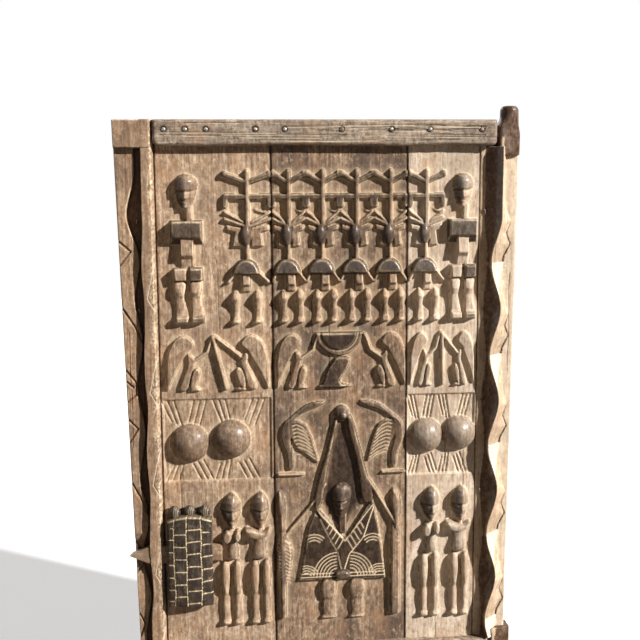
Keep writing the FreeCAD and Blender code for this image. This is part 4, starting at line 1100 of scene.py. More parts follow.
def iron(name, bright, rust, pit):
    """Hand-forged iron with rust in its pits."""
    shader = Shader(name)
    pits = shader.noise((420, 420, 420), 5.0, 0.65)
    patches = shader.noise((70, 70, 70), 3.0, 0.6)
    colour = shader.mix(shader.grey_ramp(patches, (0.42, 0.0), (0.60, 1.0)), linear(*bright),
                        linear(*rust))
    colour = shader.mix(shader.grey_ramp(pits, (0.35, 0.8), (0.55, 0.0)), colour, linear(*pit))
    return shader.finish(Base_Color=colour, Normal=shader.bump(pits, 0.5, 0.0006), Metallic=0.75,
                         Roughness=shader.grey_ramp(patches, (0.35, 0.38), (0.65, 0.72)))


plank_wood = wood("plank_wood", (100, 75, 56), (174, 145, 118), (236, 212, 184), (54, 41, 33),
                  (232, 208, 174), (236, 214, 182), (122, 102, 86))
centre_wood = wood("centre_wood", (84, 64, 49), (142, 117, 95), (212, 184, 155), (46, 35, 30),
                   (226, 200, 166), (236, 210, 174), (86, 72, 64), patina_share=0.8)
right_wood = wood("right_wood", (150, 122, 98), (218, 196, 172), (247, 233, 213), (58, 45, 37),
                  (240, 220, 190), (240, 220, 190), (160, 138, 118))
# The stiles' stain colours also paint the shade in the left recess and on the right ridge's wall.
stile_wood = wood("stile_wood", (112, 84, 62), (172, 142, 114), (216, 188, 158), (84, 52, 32),
                  (234, 212, 180), (240, 220, 188), (112, 94, 80))
right_stile_wood = wood("right_stile_wood", (158, 124, 92), (212, 186, 156), (242, 224, 198),
                        (58, 27, 8), (244, 226, 200), (250, 240, 222), (180, 152, 126))
batten_wood = wood("batten_wood", (92, 74, 60), (156, 138, 120), (208, 190, 168), (46, 34, 26),
                   (226, 208, 182), (226, 208, 180), (120, 104, 92), grain=level_grain,
                   contrast=1.5, warm_share=0.35)
lock_wood = wood("lock_wood", (40, 32, 27), (70, 60, 52), (112, 100, 88), (40, 31, 26),
                 (176, 154, 128), (238, 216, 176), (52, 42, 38), gloss=0.40, warm_share=0.12)
bolt_wood = wood("bolt_wood", (100, 76, 56), (148, 122, 98), (192, 166, 138), (82, 66, 54),
                 (220, 194, 160), (214, 188, 156), (118, 98, 84), grain=level_grain,
                 warm_share=0.08)
old_iron = iron("old_iron", (190, 178, 162), (112, 82, 60), (30, 22, 18))


# The three carved boards.
def board_across(node):
    low, high = node_box(node)
    return low[0], high[0]


def dress(piece, node, body, material):
    """Gives a piece its material and body, and lets it stand for its CAD node."""
    piece.data.materials.clear()
    piece.data.materials.append(material)
    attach(piece, body)
    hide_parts(node)
    return piece


def left_board():
    across = board_across("left_plank")
    carving = Carving(*across, leaf_foot, leaf_top, pitch=2.1, seed=random_seed)
    standing_figure(carving, row(across, figure_row_shares, 0.135, 0.405))
    dancer(carving, row(across, dancer_row_shares, 0.55, 0.995), 0.55, leg_spread=55,
           body_shift=-5.0)
    kneeling_pair(carving, row(across, kneeling_row_shares, 0.05, 0.975))
    breast_panel(carving, row(across, breast_row_shares, 0.02, 0.985), 50.0,
                 ((0.235, 0.47), (0.62, 0.51)))
    couple_figure(carving, row(across, couple_row_shares, 0.475, 0.700), is_woman=True)
    couple_figure(carving, row(across, couple_row_shares, 0.745, 0.965), is_woman=False)
    return carving


def centre_board():
    across = board_across("centre_plank")
    carving = Carving(*across, leaf_foot, leaf_top, pitch=2.3, seed=random_seed + 1)
    dancers = 4
    for index in range(dancers):
        left_share, right_share = (index + 0.01) / dancers, (index + 0.99) / dancers
        dancer(carving, row(across, dancer_row_shares, left_share, right_share), 0.5, 0.50, 40.0)
    bowl_bearers(carving, row(across, kneeling_row_shares, 0.015, 0.985))
    procession(carving, row(across, procession_row_shares))
    return carving


def right_board():
    across = board_across("right_plank")
    carving = Carving(*across, leaf_foot, leaf_top, pitch=1.9, seed=random_seed + 2)
    dancer(carving, row(across, dancer_row_shares, 0.01, 0.49), 0.52, 0.50, 41.0, 4.0)
    standing_figure(carving, row(across, figure_row_shares, 0.57, 0.96))
    kneeling_pair(carving, row(across, kneeling_row_shares, 0.03, 0.97), 0.50, 0.005)
    breast_panel(carving, row(across, breast_row_shares, 0.02, 0.98), 46.0,
                 ((0.27, 0.49), (0.76, 0.51)))
    couple_figure(carving, row(across, couple_row_shares, 0.16, 0.50), is_woman=True)
    couple_figure(carving, row(across, couple_row_shares, 0.60, 0.93), is_woman=False)
    return carving


# The stiles, with waves along both.
left_top_width = 97.0
left_foot_width = 66.0
right_top_width = 99.0
right_foot_width = 84.0
waves_per_leaf = 6
wave_pitch = (leaf_top - leaf_foot) / waves_per_leaf
block_height = 68.0
block_rise = 22.0
flange_drop = 3.0
flange_swell = 8.0
bolt_middle = 328.0
bolt_clearance = 34.0
recess_drop = 13.0
strip_rise = 20.0
strip_width = 33.0
strip_wave = 5.0
strip_bevel = 7.0
ridge_rise = 30.0
wall_insets = (13.0, 22.0)
crest_insets = (51.0, 25.0)
facet_inset = 67.0
facet_dip = 6.0
lap_reach = 37.5
end_drop = 8.0
horn_lap = 24.0
ledge_drop = 87.0
facet_edge_places = ((-118.0, 67.0), (0.0, 64.0), (15.0, 66.0), (46.0, 82.0), (73.0, 71.0),
                     (104.0, 82.0), (128.0, 72.0), (160.0, 67.0))
left_flange_shares = ((0.000, 0.82), (0.065, 0.56), (0.142, 0.96), (0.220, 0.56), (0.290, 0.98),
                      (0.364, 0.56), (0.446, 0.97), (0.531, 0.60), (0.611, 0.97), (0.692, 0.64),
                      (0.757, 0.98), (0.837, 0.42), (0.911, 0.78), (1.000, 0.78))
flange_cut_shares = (((0.794, 0.0), (0.776, 0.50), (0.751, 0.0)),
                     ((0.679, 0.0), (0.641, 0.62), (0.616, 0.90)),
                     ((0.569, 0.0), (0.545, 0.52), (0.523, 0.48), (0.510, 0.0)),
                     ((0.547, 0.05), (0.537, 0.36)), ((0.480, 0.0), (0.462, 0.50), (0.437, 0.0)),
                     ((0.365, 0.0), (0.327, 0.62), (0.302, 0.90)),
                     ((0.255, 0.0), (0.231, 0.50), (0.209, 0.46), (0.196, 0.0)),
                     ((0.120, 0.0), (0.098, 0.45), (0.074, 0.0)))


def wave(height):
    """Where a height lies in the waves: 0 in a valley, 1 on a peak, and 0 above the last."""
    turn = (1 - np.cos(2 * np.pi * (height - leaf_foot) / wave_pitch)) / 2
    return np.where(height > leaf_top - wave_pitch, 0.0, turn)


def between(values, share):
    return values[0] + (values[1] - values[0]) * share


def height_share(height):
    return (height - leaf_foot) / (leaf_top - leaf_foot)


def tapered_edge(inner, way, foot_width, top_width):
    """The outer edge of a stile that grows wider from its foot to its top."""
    return lambda height: inner + way * between((foot_width, top_width), height_share(height))


def left_stile_carving():
    """The closing stile: a high worn strip beside the board with a painted highlight along its
    crest, a recess painted dark as shade, and a low wavy flange.
    """
    inner = node_box("left_stile")[1][0]
    outer = tapered_edge(inner, -1, left_foot_width, left_top_width)
    carving = Carving(outer, inner, leaf_foot, leaf_top, pitch=1.35, seed=random_seed + 3)
    x, z = carving.x, carving.z
    everywhere = ...
    edge = inner - strip_width - strip_wave * wave(z) + 1.2 * carving.noise(30, 55)
    reach = curve_through(left_flange_shares, height_share(z)) * (edge - outer(z))
    carving.height[:] = -recess_drop
    # Painted shade: the whole face starts stained dark, which stays on the recess floor where the
    # strip's shadow falls.
    carving.stain[:] = 0.85
    inside = np.minimum(outer(z) + reach - x, x - outer(z) + 1.5)
    clear_of_bolt = np.clip((np.abs(z - bolt_middle) - bolt_clearance) / 22, 0, 1)
    flange_rise = recess_drop - flange_drop + flange_swell * clear_of_bolt
    carving.lift(everywhere, flange_rise * np.clip(inside / 2.6, 0, 1), 0.12, ground=-recess_drop)
    left_side = np.clip((x - edge) / 2.4, 0, 1)
    right_side = np.clip((inner - x) / strip_bevel, 0, 1) ** 0.75
    strip = recess_drop + strip_rise * left_side * right_side - (1 - left_side) * recess_drop
    carving.lift(everywhere, strip, 0.3, ground=-recess_drop)
    # Wear and painted highlight: a pale, slightly lowered band along the strip's crest, where its
    # bevel catches the light.
    crest_away = np.abs(inner - x - 7.0 - 4.0 * carving.noise(12, 60))
    worn = np.clip(1.1 - crest_away / 11.0, 0, 1) * (x > edge)
    rough = np.clip(0.42 + 0.8 * carving.noise(3.0, 4.5), 0, 1)
    drift = np.clip(0.65 + 0.5 * carving.noise(40, 45), 0.2, 1)
    carving.pale[:] = np.maximum(carving.pale, worn * rough * drift * 0.85)
    carving.height -= worn * rough * 0.5
    for places in flange_cut_shares:
        line = []
        for share, across in places:
            height = leaf_foot + share * (leaf_top - leaf_foot)
            flange_edge = outer(height)
            line.append((flange_edge + across * (inner - strip_width - flange_edge), height))
        score(carving, line, 6.5, 4.0, pale=0.0, stain=0.75)
    for index in range(waves_per_leaf - 1):
        peak = leaf_foot + wave_pitch * (index + 0.5)
        line = [(inner - 2, peak + 10), (inner - strip_width * 0.66, peak - 78),
                (inner - 3, peak - 112)]
        score(carving, line, 3.4, 1.4, pale=0.6)
    for foot in (leaf_foot, leaf_top - block_height):
        top = foot + block_height
        run = (3, 3, 3 if foot > leaf_foot else 1, 3 if foot == leaf_foot else 1)
        inside = inside_box((outer(z), inner - strip_bevel, foot, top), x, z, run)
        carving.lift(everywhere, np.clip(inside + 0.45, 0, 1) * block_rise * (inside > 0), 0.15)
    return carving


def right_stile_carving():
    """The pivot stile: a strip, a high ridge with a scalloped wall painted dark as shade, and a
    flange, with painted highlights on the facets below each peak.
    """
    inner = node_box("right_stile")[0][0]
    outer = tapered_edge(inner, 1, right_foot_width, right_top_width)
    carving = Carving(inner, outer, leaf_foot, leaf_top, pitch=1.35, seed=random_seed + 4)
    x, z = carving.x, carving.z
    aside = x - inner
    wall = between(wall_insets, wave(z)) + 0.8 * carving.noise(40, 50)
    crest = between(crest_insets, wave(z))
    phase = ((z - leaf_foot) / wave_pitch) % 1
    below_top_wave = z < leaf_top - wave_pitch
    above = np.where((phase > 0.5) & below_top_wave, 2 * (1 - phase), 0.0)
    rise = ridge_rise - 2.0 * above
    foot_level = -flange_drop - facet_dip * above
    scoop = rise * np.clip((aside - wall) / (crest - wall), 0, 1) ** 1.3
    from_peak = (phase - 0.5) * wave_pitch
    from_peak = np.where(from_peak < -0.2 * wave_pitch, from_peak + wave_pitch, from_peak)
    waved = z < leaf_top - wave_pitch + 0.3 * wave_pitch
    edge = np.where(waved, profile_at(facet_edge_places, from_peak), facet_inset)
    facet = rise + (foot_level - rise) * np.clip((aside - crest) / (edge - crest), 0, 1)
    flange = -flange_drop - 0.6 * carving.noise(18, 30)
    carving.height = np.where(aside < wall, 0.0, np.where(aside < crest, scoop, facet))
    carving.height = np.where(aside > edge, flange, carving.height)
    # Painted shade: the ridge's scooped inner wall, which faces away from the light, is stained
    # dark.
    carving.stain = np.where(aside < wall, 0.05, np.where(aside < crest, 0.95, 0.0))
    on_facet = (aside > crest) & (aside < edge)
    carving.stain = np.where(on_facet, 0.30 * above, carving.stain)
    # Painted shadow: a dark line along the foot of each facet above a peak.
    shadow_line = np.clip(1 - np.abs(aside - edge) / 2.4, 0, 1) * (above > 0.15)
    carving.stain = np.maximum(carving.stain, 0.95 * shadow_line)
    # Painted highlight: a pale wedge on each facet below a peak, where it faces the light.
    below = (phase < 0.5) & (phase > 0.14)
    narrow_share = np.clip((phase - 0.14) / 0.30, 0, 1) ** 0.7
    facet_highlight = np.clip((crest + (edge - crest) * narrow_share - aside) / 3.0, 0, 1)
    carving.pale = np.where(on_facet & below & below_top_wave, 0.45 * facet_highlight, 0.0)
    carving.pale += 0.25 * (aside > edge)
    from_end = np.minimum(z - leaf_foot, leaf_top - z)
    lapped = (aside < lap_reach) & (from_end < batten_height + 1)
    carving.height = np.where(lapped, np.minimum(carving.height, 0), carving.height)
    ends = (aside >= lap_reach) & (from_end < block_height - 4)
    carving.height = np.where(ends, np.minimum(carving.height, -end_drop), carving.height)
    drawn_in = np.where(aside > lap_reach - 1, 1 - horn_lap / block_height, 1.0)
    top_start, foot_start = leaf_top - block_height, leaf_foot + block_height
    carving.z = np.where(z > top_start, top_start + (z - top_start) * drawn_in, z)
    carving.z = np.where(z < foot_start, foot_start - (foot_start - z) * drawn_in, carving.z)
    return carving


pintle_radius = 24.0
pintle_bevel = 12.0
horn_points = 72
horn_block = ((26.0, 28.2), (26.0, -13.0), (12.0, -17.0), (-14.0, -25.0), (-26.0, -28.0),
              (-29.0, -27.0), (-35.5, -8.0), (-36.0, 0.0), (-36.0, 28.2))
horn_middle = -5.0
lit_tongue_length = 66.0


def horn_ring(bend):
    """The outline of the horn's section: from its carved block to the round of the pintle."""
    corners = [(x - horn_middle * (1 - bend), y) for x, y in horn_block]
    reaches = []
    for step in range(horn_points):
        angle = 2 * math.pi * step / horn_points
        way_x, way_y = math.cos(angle), math.sin(angle)
        reach = 0.0
        for index, first in enumerate(corners):
            second = corners[(index + 1) % len(corners)]
            run_x, run_y = second[0] - first[0], second[1] - first[1]
            cross = way_x * run_y - way_y * run_x
            if abs(cross) > 1e-9:
                along = (first[0] * run_y - first[1] * run_x) / cross
                share = (first[0] * way_y - first[1] * way_x) / cross
                if along > 0 and -1e-6 <= share <= 1 + 1e-6:
                    reach = max(reach, along)
        reaches.append(reach)
    reaches = np.array(reaches)
    eased = sum(np.roll(reaches, shift) for shift in (-1, 0, 1)) / 3
    return np.minimum(eased, reaches) * (1 - bend) + (pintle_radius - 0.5) * bend


def horn(low, high, way):
    """One end of the pivot stile: a carved block that rounds off into a pintle.

    low and high are the lengths from the block's inner end to the leaf's end and the pintle's tip.
    """
    start = leaf_top - ledge_drop if way > 0 else leaf_foot + ledge_drop
    lengths = [0, 0.8, 2, *np.linspace(8, low - 34, 8), *np.linspace(low - 30, low + 8, 11)]
    lengths += [low + 14, *(high - below for below in (12, 9, 6, 3.5, 1.5, 0.4, 0.2))]
    angles = 2 * np.pi * np.arange(horn_points) / horn_points
    rings = []
    for index, length in enumerate(lengths):
        share = np.clip((length - (low - 34)) / 42, 0, 1)
        bend = float(share ** 2 * (3 - 2 * share))
        reaches = horn_ring(bend)
        tip = np.clip((length - (high - pintle_bevel)) / pintle_bevel, 0, 1)
        ease = (math.sqrt(max(0.0, 1 - tip ** 2)) * 0.5 + 0.5) * (0.97, 0.99, 1.0)[min(index, 2)]
        rings.append(np.stack([horn_middle * (1 - bend) + reaches * ease * np.cos(angles),
                               reaches * ease * np.sin(angles),
                               np.full(horn_points, start + way * length)], axis=-1))
    points = np.concatenate(rings)
    random = np.random.default_rng(random_seed + 5 + way)
    carved = smooth_noise(points[:, 0] + points[:, 1], points[:, 2], 14, 22, random)
    inward = 1 - 0.018 * (1 + carved)
    points[:, 0] = np.clip((points[:, 0] - horn_middle) * inward + horn_middle, -36, 26)
    points[:, 1] *= inward
    marks = np.zeros((len(points), 4))
    # Dark stain and painted shade: the horn is stained dark all over.
    marks[:, 2] = 1.0
    marks[:, 0] = np.clip(carved - 0.3, 0, 1) * 0.2
    # Painted light: a paler tongue along the crest at the horn's foot.
    along = np.abs(points[:, 2] - start) / lit_tongue_length
    from_crest = np.abs(points[:, 0] + 22) - 6.5 * np.clip(1 - along, 0, 1)
    lit = (from_crest < 0) & (points[:, 1] < 0) & (along < 1)
    marks[lit, 2] = 0.1
    faces, smooth_count = ring_faces(len(rings), horn_points, flip=way < 0)
    return points, faces, marks, smooth_count


# The battens.
batten_round = 9.0
batten_nail_shares = (0.033, 0.093, 0.152, 0.293, 0.377, 0.541, 0.686, 0.800, 0.953)
batten_corner = 14.0
batten_cracks = 26


def batten_carving(node, wavy_foot):
    """A weathered batten with rounded edges, dished and stained around its nails, and cracked."""
    low, high = node_box(node)
    depth = batten_high[1] - batten_low[1]
    middle = (low[2] + high[2]) / 2

    def corner(height):
        """How far the rounded lower corners draw in the ends."""
        below = np.clip((low[2] + batten_corner - height) / batten_corner, 0, 1)
        return 0.4 + batten_corner * (1 - np.sqrt(np.clip(1 - below ** 2, 0, 1)))

    carving = Carving(lambda height: low[0] + corner(height),
                      lambda height: high[0] - corner(height), low[2], high[2], pitch=1.3,
                      seed=random_seed + 7 + int(middle))
    sway_reach = 1.6 if wavy_foot else 0.8
    sway = sway_reach + sway_reach * carving.noise(120, 400)
    rim = np.minimum(carving.z - low[2], high[2] - carving.z)
    turn = np.clip(rim / batten_round, 0, 1)
    carving.height = depth - 1.2 - batten_round * (1 - np.sqrt(1 - (1 - turn) ** 2))
    carving.height -= 5.0 * np.clip(1 - carving.from_sides() / 9, 0, 1) ** 2
    nail_low, nail_high = node_box(node + "_nails")
    for share in batten_nail_shares:
        from_nail = np.hypot(carving.x - low[0] - share * (high[0] - low[0]),
                             carving.z - (nail_low[2] + nail_high[2]) / 2)
        carving.stain = np.maximum(carving.stain, np.clip((10.5 - from_nail) / 2.5, 0, 1))
        carving.height -= 1.2 * np.clip((8.5 - from_nail) / 2.5, 0, 1)
    fit_between(carving, low[2] + sway, high[2] - 0.3)
    for _ in range(batten_cracks):
        start = carving.random.uniform(low[0] + 20, high[0] - 120)
        length = carving.random.uniform(40, 320)
        height = carving.random.uniform(low[2] + 9, high[2] - 9)
        lean = carving.random.uniform(-3, 3)
        line = []
        for step in range(6):
            across = start + length * step / 5
            if across < high[0] - 12:
                wander = carving.random.uniform(-1, 1)
                line.append((across, height + lean * step / 5 + wander))
        if len(line) < 2:
            continue
        if carving.random.uniform() < 0.5:
            score(carving, line, 2.6, 1.4, pale=0.55)
        else:
            score(carving, line, 2.4, 1.6, pale=0.0, stain=0.9)
    return carving


# The lock.
case_column_shares = (0.0, 0.165, 0.44, 0.757, 1.0)
first_level_shares = (0.89, 1.45, 1.05, 1.29)
brick_height = 32.5
case_top = 434.0
case_arch = 14.0
running_gap = 0.3
bolt_room = 40.0
pin_travel = 12.0
knob_count = 3
knob_reaches = (15.4, 12.6, 18.4)
knob_lines = (arc_places(1.05, 0.05, 0.85, 1.15, 128, 232, 8),
              arc_places(1.40, 0.05, 0.88, 1.05, 132, 228, 8),
              arc_places(0.70, 0.10, 0.80, 1.10, 130, 215, 8))
point_length = 51.0
point_height = 4.0
case_edge_depth = 34.0
case_middle_depth = 42.0


def lock_carving():
    """The case's front: bricks in four bowed columns, with pale mortar between them."""
    low, high = node_box("lock_case")
    carving = Carving(low[0], high[0], low[2], case_top, pitch=0.85, seed=random_seed + 11)
    width = high[0] - low[0]
    aside = 2 * (carving.x - low[0]) / width - 1
    carving.height = case_middle_depth - 0.5 - (case_middle_depth - case_edge_depth) * aside ** 2
    arched_top = case_top - case_arch * aside ** 2
    fit_between(carving, low[2] + 0.3, arched_top - 0.3)
    carving.height += 1.3 * carving.noise(24, 20) - 1.0
    x, z = carving.x, carving.z
    places = [low[0] + share * width for share in case_column_shares]
    for place in places[1:-1]:
        line = [(place + carving.random.uniform(-1.6, 1.6),
                 low[2] + (case_top - low[2]) * step / 7) for step in range(8)]
        score(carving, line, 4.6, 2.4, pale=0.95)
    for index, first_share in enumerate(first_level_shares):
        height = case_top - brick_height * first_share
        start, end = places[index:index + 2]
        while height > low[2] + 6:
            tilt = carving.random.uniform(-1.5, 2.5)
            bow = carving.random.uniform(-1, 1)
            line = [(start, height), ((start + end) / 2, height + tilt / 2 + bow),
                    (end, height + tilt)]
            score(carving, line, 4.4, 2.2, pale=0.9)
            height -= brick_height + carving.random.uniform(-1.5, 1.5)
    rim = inside_box((low[0], high[0], low[2], arched_top), x, z)
    carving.height -= 4.0 * np.clip(1 - rim / 5, 0, 1) ** 2
    under_arch = arched_top - 0.3 - z
    arch_line = np.clip(1 - np.abs(under_arch - 2.5) / 3.5, 0, 1)
    carving.pale = np.maximum(carving.pale, 0.75 * arch_line)
    carving.pale *= np.clip(0.75 + 0.5 * carving.noise(3, 3), 0, 1)
    carving.stain[:] = 0.2
    return carving


def pebble(centre, reaches, lines, random, steps=56, rows=40):
    """A rounded knob with scored lines on its front."""
    up = np.linspace(-1.5, 1.5, rows)
    around = np.linspace(0, 2 * np.pi, steps, endpoint=False)
    turn, rise = np.meshgrid(around, up)
    x = np.cos(turn) * np.cos(rise)
    y = np.sin(turn) * np.cos(rise)
    z = np.sin(rise)
    points = np.stack([x * reaches[0], y * reaches[1], z * reaches[2]], axis=-1)
    swell = 1 + 0.03 * smooth_noise(points[..., 0], points[..., 2], 7, 7, random)
    cut = np.zeros(x.shape)
    for line in lines:
        places = [(u * reaches[0], v * reaches[2]) for u, v in line]
        away = away_from(places, points[..., 0], points[..., 2])
        cut = np.maximum(cut, np.clip(1 - away / 1.7, 0, 1) * (y < 0))
    points *= (swell - 0.075 * cut)[..., None]
    points = points + np.array(centre)
    faces, smooth_count = ring_faces(rows, steps)
    marks = np.zeros((rows * steps, 4))
    marks[:, 2] = 0.25
    marks[:, 3] = (cut * 0.3).ravel()
    return points.reshape(-1, 3), faces, marks, smooth_count


def lock_knobs():
    """The knobs in a row over the top of the lock's case."""
    low, high = node_box("lock_case")
    random = np.random.default_rng(random_seed + 12)
    parts = []
    for index in range(knob_count):
        middle = (low[0] + high[0]) / 2 + (index - 1) * (high[0] - low[0]) / 3
        centre = (middle, board_front - 13.0, case_top + 3.5)
        parts.append(pebble(centre, knob_reaches, knob_lines, random))
    return parts


def bolt_carving():
    """The bolt's front, which runs to a flat point at its left end."""
    low, high = node_box("lock_bolt")
    middle = (low[2] + high[2]) / 2

    def left(height):
        slope_height = (high[2] - low[2]) / 2 - point_height / 2
        share = np.clip((np.abs(height - middle) - point_height / 2) / slope_height, 0, 1)
        return low[0] + 0.3 + point_length * share

    carving = Carving(left, high[0] - 0.3, low[2] + 0.2, high[2] - 0.2, pitch=1.0,
                      seed=random_seed + 13)
    thick = high[1] - low[1]
    rim = np.minimum(np.minimum(carving.z - carving.up[0], carving.up[-1] - carving.z),
                     carving.x[:, -1:] - carving.x)
    carving.height = thick - 0.7 - 3.0 * np.clip(1 - rim / 5, 0, 1) ** 2
    tip = np.clip(1 - (carving.x - low[0]) / point_length, 0, 1)
    carving.height -= tip * (4 + 7 * np.abs(carving.z - middle) / (high[2] - low[2]))
    carving.pale = 0.3 * tip
    return carving


# The irons.
def hammered_head(x, y, z, reach, rise, random, sides=14, rings=5):
    """The head of a hand-made nail: a low uneven dome over a short skirt."""
    points = []
    for ring in range(rings + 1):
        share = ring / rings
        lift = math.sin(share * math.pi / 2) * rise
        out = reach * math.cos(share * math.pi / 2) ** 0.7
        for step in range(sides):
            angle = 2 * math.pi * step / sides
            uneven = 1 + random.uniform(-0.08, 0.06)
            points.append((x + out * uneven * math.cos(angle),
                           y - lift * random.uniform(0.86, 1.0),
                           z + out * uneven * math.sin(angle)))
    faces, smooth_count = ring_faces(rings + 1, sides)
    return points, faces, np.zeros((len(points), 4)), smooth_count


def tube(places, radii, sides=10):
    """A round bar through places, with a radius at each."""
    places = [Vector(place) for place in places]
    points = []
    for index, place in enumerate(places):
        ahead = (places[min(index + 1, len(places) - 1)] - places[max(index - 1, 0)]).normalized()
        first = ahead.cross(Vector((0.3, 0.2, 1.0))).normalized()
        second = ahead.cross(first)
        for step in range(sides):
            angle = 2 * math.pi * step / sides
            points.append(place + (first * math.cos(angle) + second * math.sin(angle))
                          * radii[index])
    faces, smooth_count = ring_faces(len(places), sides)
    return [tuple(point) for point in points], faces, np.zeros((len(points), 4)), smooth_count


def batten_nail_heads(node):
    low, high = node_box(node)
    bar_low, bar_high = node_box(node.replace("_nails", ""))
    random = np.random.default_rng(random_seed + 14)
    length = bar_high[0] - bar_low[0]
    return [hammered_head(bar_low[0] + length * share, bar_low[1] + 1.5, (low[2] + high[2]) / 2,
                          5.6, 3.8, random) for share in batten_nail_shares]


# Places along a bent nail, aside, behind the wood's face and along it, and its radius there.
bent_nail_places = ((0, 6, 0, 1.7), (0, -2, 0, 1.8), (1, -3.6, 2, 1.9), (2, -4.2, 6, 1.7),
                    (3, -3.9, 11, 1.4), (3.4, -3.6, 14, 0.9))
left_nail_shares = (0.167, 0.333, 0.667, 0.830)
right_nail_shares = (0.167, 0.333, 0.500, 0.845)
nail_inset = 11.0


def bent_nails(shares, x, ground, way_x):
    """Nails that stand out of a stile and are bent over."""
    random = np.random.default_rng(random_seed + 15)
    parts = []
    for index, share in enumerate(shares):
        z = leaf_foot + share * (leaf_top - leaf_foot)
        way = 1 - 2 * (index % 2)
        lean = random.uniform(0.2, 0.9) * way_x
        places = [(x + aside * lean, ground + behind, z + way * along)
                  for aside, behind, along, radius in bent_nail_places]
        parts.append(tube(places, [place[-1] for place in bent_nail_places]))
    return parts


for node, maker, material in (("left_plank", left_board, plank_wood),
                              ("centre_plank", centre_board, centre_wood),
                              ("right_plank", right_board, right_wood)):
    face = maker()
    edges_eased(face, run=4.5, drop=3.2)
    weathered(face)
    face.stain = np.maximum(face.stain, np.clip((3.4 - face.from_sides()) / 1.6, 0, 0.9))
    dress(joined(node + "_carved", [carved_timber(face)]), node, "door", material)

bolt_low, bolt_high = node_box("lock_bolt")
channel = (bolt_low - (bolt_room, running_gap, running_gap),
           (bolt_high[0] + bolt_room, board_front + running_gap, bolt_high[2] + running_gap))

face = left_stile_carving()
edges_eased(face, run=3.0, drop=1.6)
weathered(face, cracks=2)
over_bolt = (face.z > bolt_low[2] - 5) & (face.z < bolt_high[2] + 5)
over_bolt &= face.height > strip_rise - 5
face.height = np.where(over_bolt, np.maximum(face.height, strip_rise - 0.4), face.height)
piece = joined("left_stile_carved", [carved_timber(face)])
dress(cut_out(piece, [channel]), "left_stile", "door", stile_wood)

face = right_stile_carving()
edges_eased(face, run=3.0, drop=1.6)
weathered(face, cracks=2)
pivot_low, pivot_high = node_box("right_stile")
pivot_parts = [carved_timber(face), horn(ledge_drop, ledge_drop + pivot_high[2] - leaf_top, 1),
               horn(ledge_drop, ledge_drop + leaf_foot - pivot_low[2], -1)]
dress(joined("right_stile_carved", pivot_parts), "right_stile", "door", right_stile_wood)

for node, wavy_foot in (("top_batten", True), ("bottom_batten", False)):
    face = batten_carving(node, wavy_foot)
    weathered(face, tool_marks=0.6, grain=0.25, cracks=0, level=True)
    piece = joined(node + "_adzed", [carved_timber(face, back=board_front, back_wave=0.0)])
    dress(piece, node, "door", batten_wood)

face = lock_carving()
weathered(face, tool_marks=0.4, grain=0.12, cracks=0)
case = joined("lock_case_carved", [carved_timber(face, back=board_front, back_wave=0.0)])
hollows = [channel]
for index in range(knob_count):
    low, high = node_box(f"tumbler_pin_{index + 1}")
    high = np.array((high[0], board_front, high[2] + pin_travel))
    hollows.append((low - running_gap, high + running_gap))
case = united(cut_out(case, hollows), joined("knobs", lock_knobs()))
dress(case, "lock_case", "door", lock_wood)

face = bolt_carving()
weathered(face, tool_marks=0.3, grain=0.2, cracks=0, level=True)
piece = joined("lock_bolt_carved", [carved_timber(face, back=bolt_high[1], back_wave=0.0)])
dress(piece, "lock_bolt", "bolt", bolt_wood)

for node in ("top_batten_nails", "bottom_batten_nails"):
    dress(joined(node + "_heads", batten_nail_heads(node)), node, "door", old_iron)
left_nail_line = node_box("left_stile")[1][0] - strip_width - nail_inset
right_nail_line = node_box("right_stile")[0][0] + nail_inset
left_nails = bent_nails(left_nail_shares, left_nail_line, board_front + recess_drop, -1)
right_nails = bent_nails(right_nail_shares, right_nail_line, board_front, 1)
for node, nails in (("left_stile_nails", left_nails), ("right_stile_nails", right_nails)):
    dress(joined(node + "_bent", nails), node, "door", old_iron)


# The stage, the light and the camera.
floor_reach = 9.0
floor_shade = (0.17, 0.155, 0.14, 1)
floor_glow = 0.42
sky = (1.0, 0.88, 0.76, 1)
sky_strength = 0.03
white = (1, 1, 1, 1)


def stage_floor():
    corners = [(across * floor_reach, back * floor_reach, 0)
               for across, back in ((-1, -1), (1, -1), (1, 1), (-1, 1))]
    mesh = bpy.data.meshes.new("floor")
    mesh.from_pydata(corners, [], [(0, 1, 2, 3)])
    floor = bpy.data.objects.new("floor", mesh)
    floor.location.z = cad_box[0][2]
    bpy.context.scene.collection.objects.link(floor)
    shader = Shader("pale_floor")
    shade = shader.noise((3, 3, 3), 2.0)
    seen = shader.node("ShaderNodeLightPath").outputs["Is Camera Ray"]
    pale = shader.mix(shader.grey_ramp(shade, (0.3, 0.0), (0.7, 1.0)), (0.78, 0.78, 0.78, 1),
                      (0.80, 0.80, 0.80, 1))
    glow = shader.maths("MULTIPLY", seen, floor_glow)
    roughness = shader.grey_ramp(shade, (0.3, 0.9), (0.7, 0.95))
    material = shader.finish(Base_Color=shader.mix(seen, floor_shade, pale), Roughness=roughness,
                             Normal=shader.bump(shade, 0.05, 0.001), Emission_Color=white,
                             Emission_Strength=glow)
    mesh.materials.append(material)


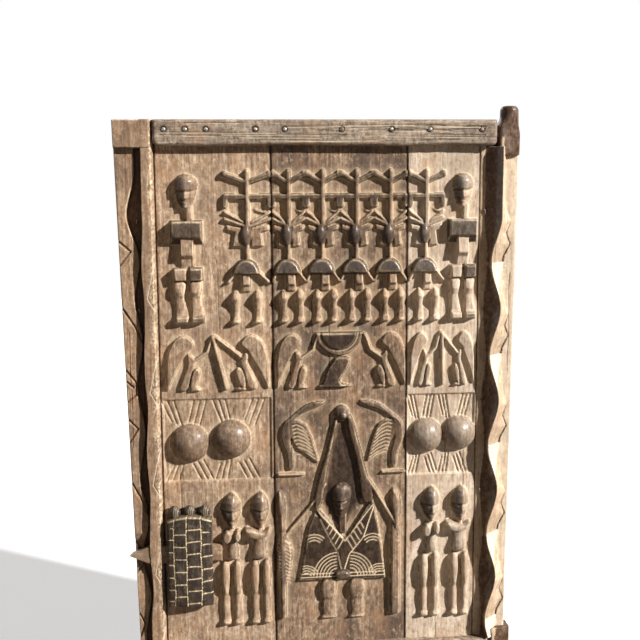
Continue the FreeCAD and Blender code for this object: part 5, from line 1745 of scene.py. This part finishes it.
def world_light():
    """A white backdrop where the camera looks, and a dim warm sky that lights the door."""
    world = bpy.data.worlds.new("studio")
    bpy.context.scene.world = world
    world.use_nodes = True
    tree = world.node_tree
    tree.nodes.clear()
    output = tree.nodes.new("ShaderNodeOutputWorld")
    shown = tree.nodes.new("ShaderNodeMixShader")
    for index, colour, strength in ((1, sky, sky_strength), (2, white, 1.0)):
        light = tree.nodes.new("ShaderNodeBackground")
        light.inputs["Color"].default_value = colour
        light.inputs["Strength"].default_value = strength
        tree.links.new(light.outputs[0], shown.inputs[index])
    rays = tree.nodes.new("ShaderNodeLightPath")
    seen = rays.outputs["Is Camera Ray"]
    for ray in ("Is Glossy Ray", "Is Transmission Ray"):
        largest = tree.nodes.new("ShaderNodeMath")
        largest.operation = "MAXIMUM"
        tree.links.new(seen, largest.inputs[0])
        tree.links.new(rays.outputs[ray], largest.inputs[1])
        seen = largest.outputs[0]
    tree.links.new(seen, shown.inputs[0])
    tree.links.new(shown.outputs[0], output.inputs["Surface"])


def sun(name, towards, strength, soft_angle, colour):
    lamp = bpy.data.lights.new(name, "SUN")
    lamp.energy = strength
    lamp.angle = math.radians(soft_angle)
    lamp.color = colour
    made = bpy.data.objects.new(name, lamp)
    made.rotation_euler = Vector(towards).to_track_quat("Z", "Y").to_euler()
    bpy.context.scene.collection.objects.link(made)


# The key light comes from the front right, a little above the door, and the fill from behind.
key_direction = (0.74, -0.48, 0.47)
key_strength = 6.5
key_softness = 2.0
fill_direction = (-0.45, 0.80, 0.40)
fill_strength = 1.6
fill_softness = 25.0

# The camera stands left of the middle and a little above it, and looks slightly down.
camera_place = (-0.692, -2.425 + board_back * metre, 1.257)
camera_yaw = 5.1
camera_pitch = 7.9
camera_roll = -0.32
camera_lens = 54.0
camera_sensor = 36.0


def photo_camera():
    yaw, pitch, roll = (math.radians(angle) for angle in (camera_yaw, camera_pitch, camera_roll))
    ahead = Vector((math.sin(yaw) * math.cos(pitch), math.cos(yaw) * math.cos(pitch),
                    -math.sin(pitch)))
    right = Vector((math.cos(yaw), -math.sin(yaw), 0))
    upward = right.cross(ahead)
    turned_right = right * math.cos(roll) + upward * math.sin(roll)
    turned_up = upward * math.cos(roll) - right * math.sin(roll)
    lens = bpy.data.cameras.new("camera")
    lens.lens = camera_lens
    lens.sensor_width = camera_sensor
    lens.sensor_height = camera_sensor
    lens.sensor_fit = "HORIZONTAL"
    lens.clip_end = 50.0
    made = bpy.data.objects.new("camera", lens)
    turn = Matrix((turned_right, turned_up, -ahead)).transposed()
    made.matrix_world = Matrix.Translation(camera_place) @ turn.to_4x4()
    bpy.context.scene.collection.objects.link(made)
    bpy.context.scene.camera = made


stage_floor()
world_light()
sun("key", key_direction, key_strength, key_softness, (1.0, 0.985, 0.965))
sun("back_fill", fill_direction, fill_strength, fill_softness, (1.0, 0.98, 0.96))
photo_camera()
bpy.context.scene.view_settings.view_transform = "Standard"

# The staples, the nails of the lock and the pins keep their solids.
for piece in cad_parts.values():
    if not piece.hide_render:
        piece.data.materials.clear()
        piece.data.materials.append(old_iron)
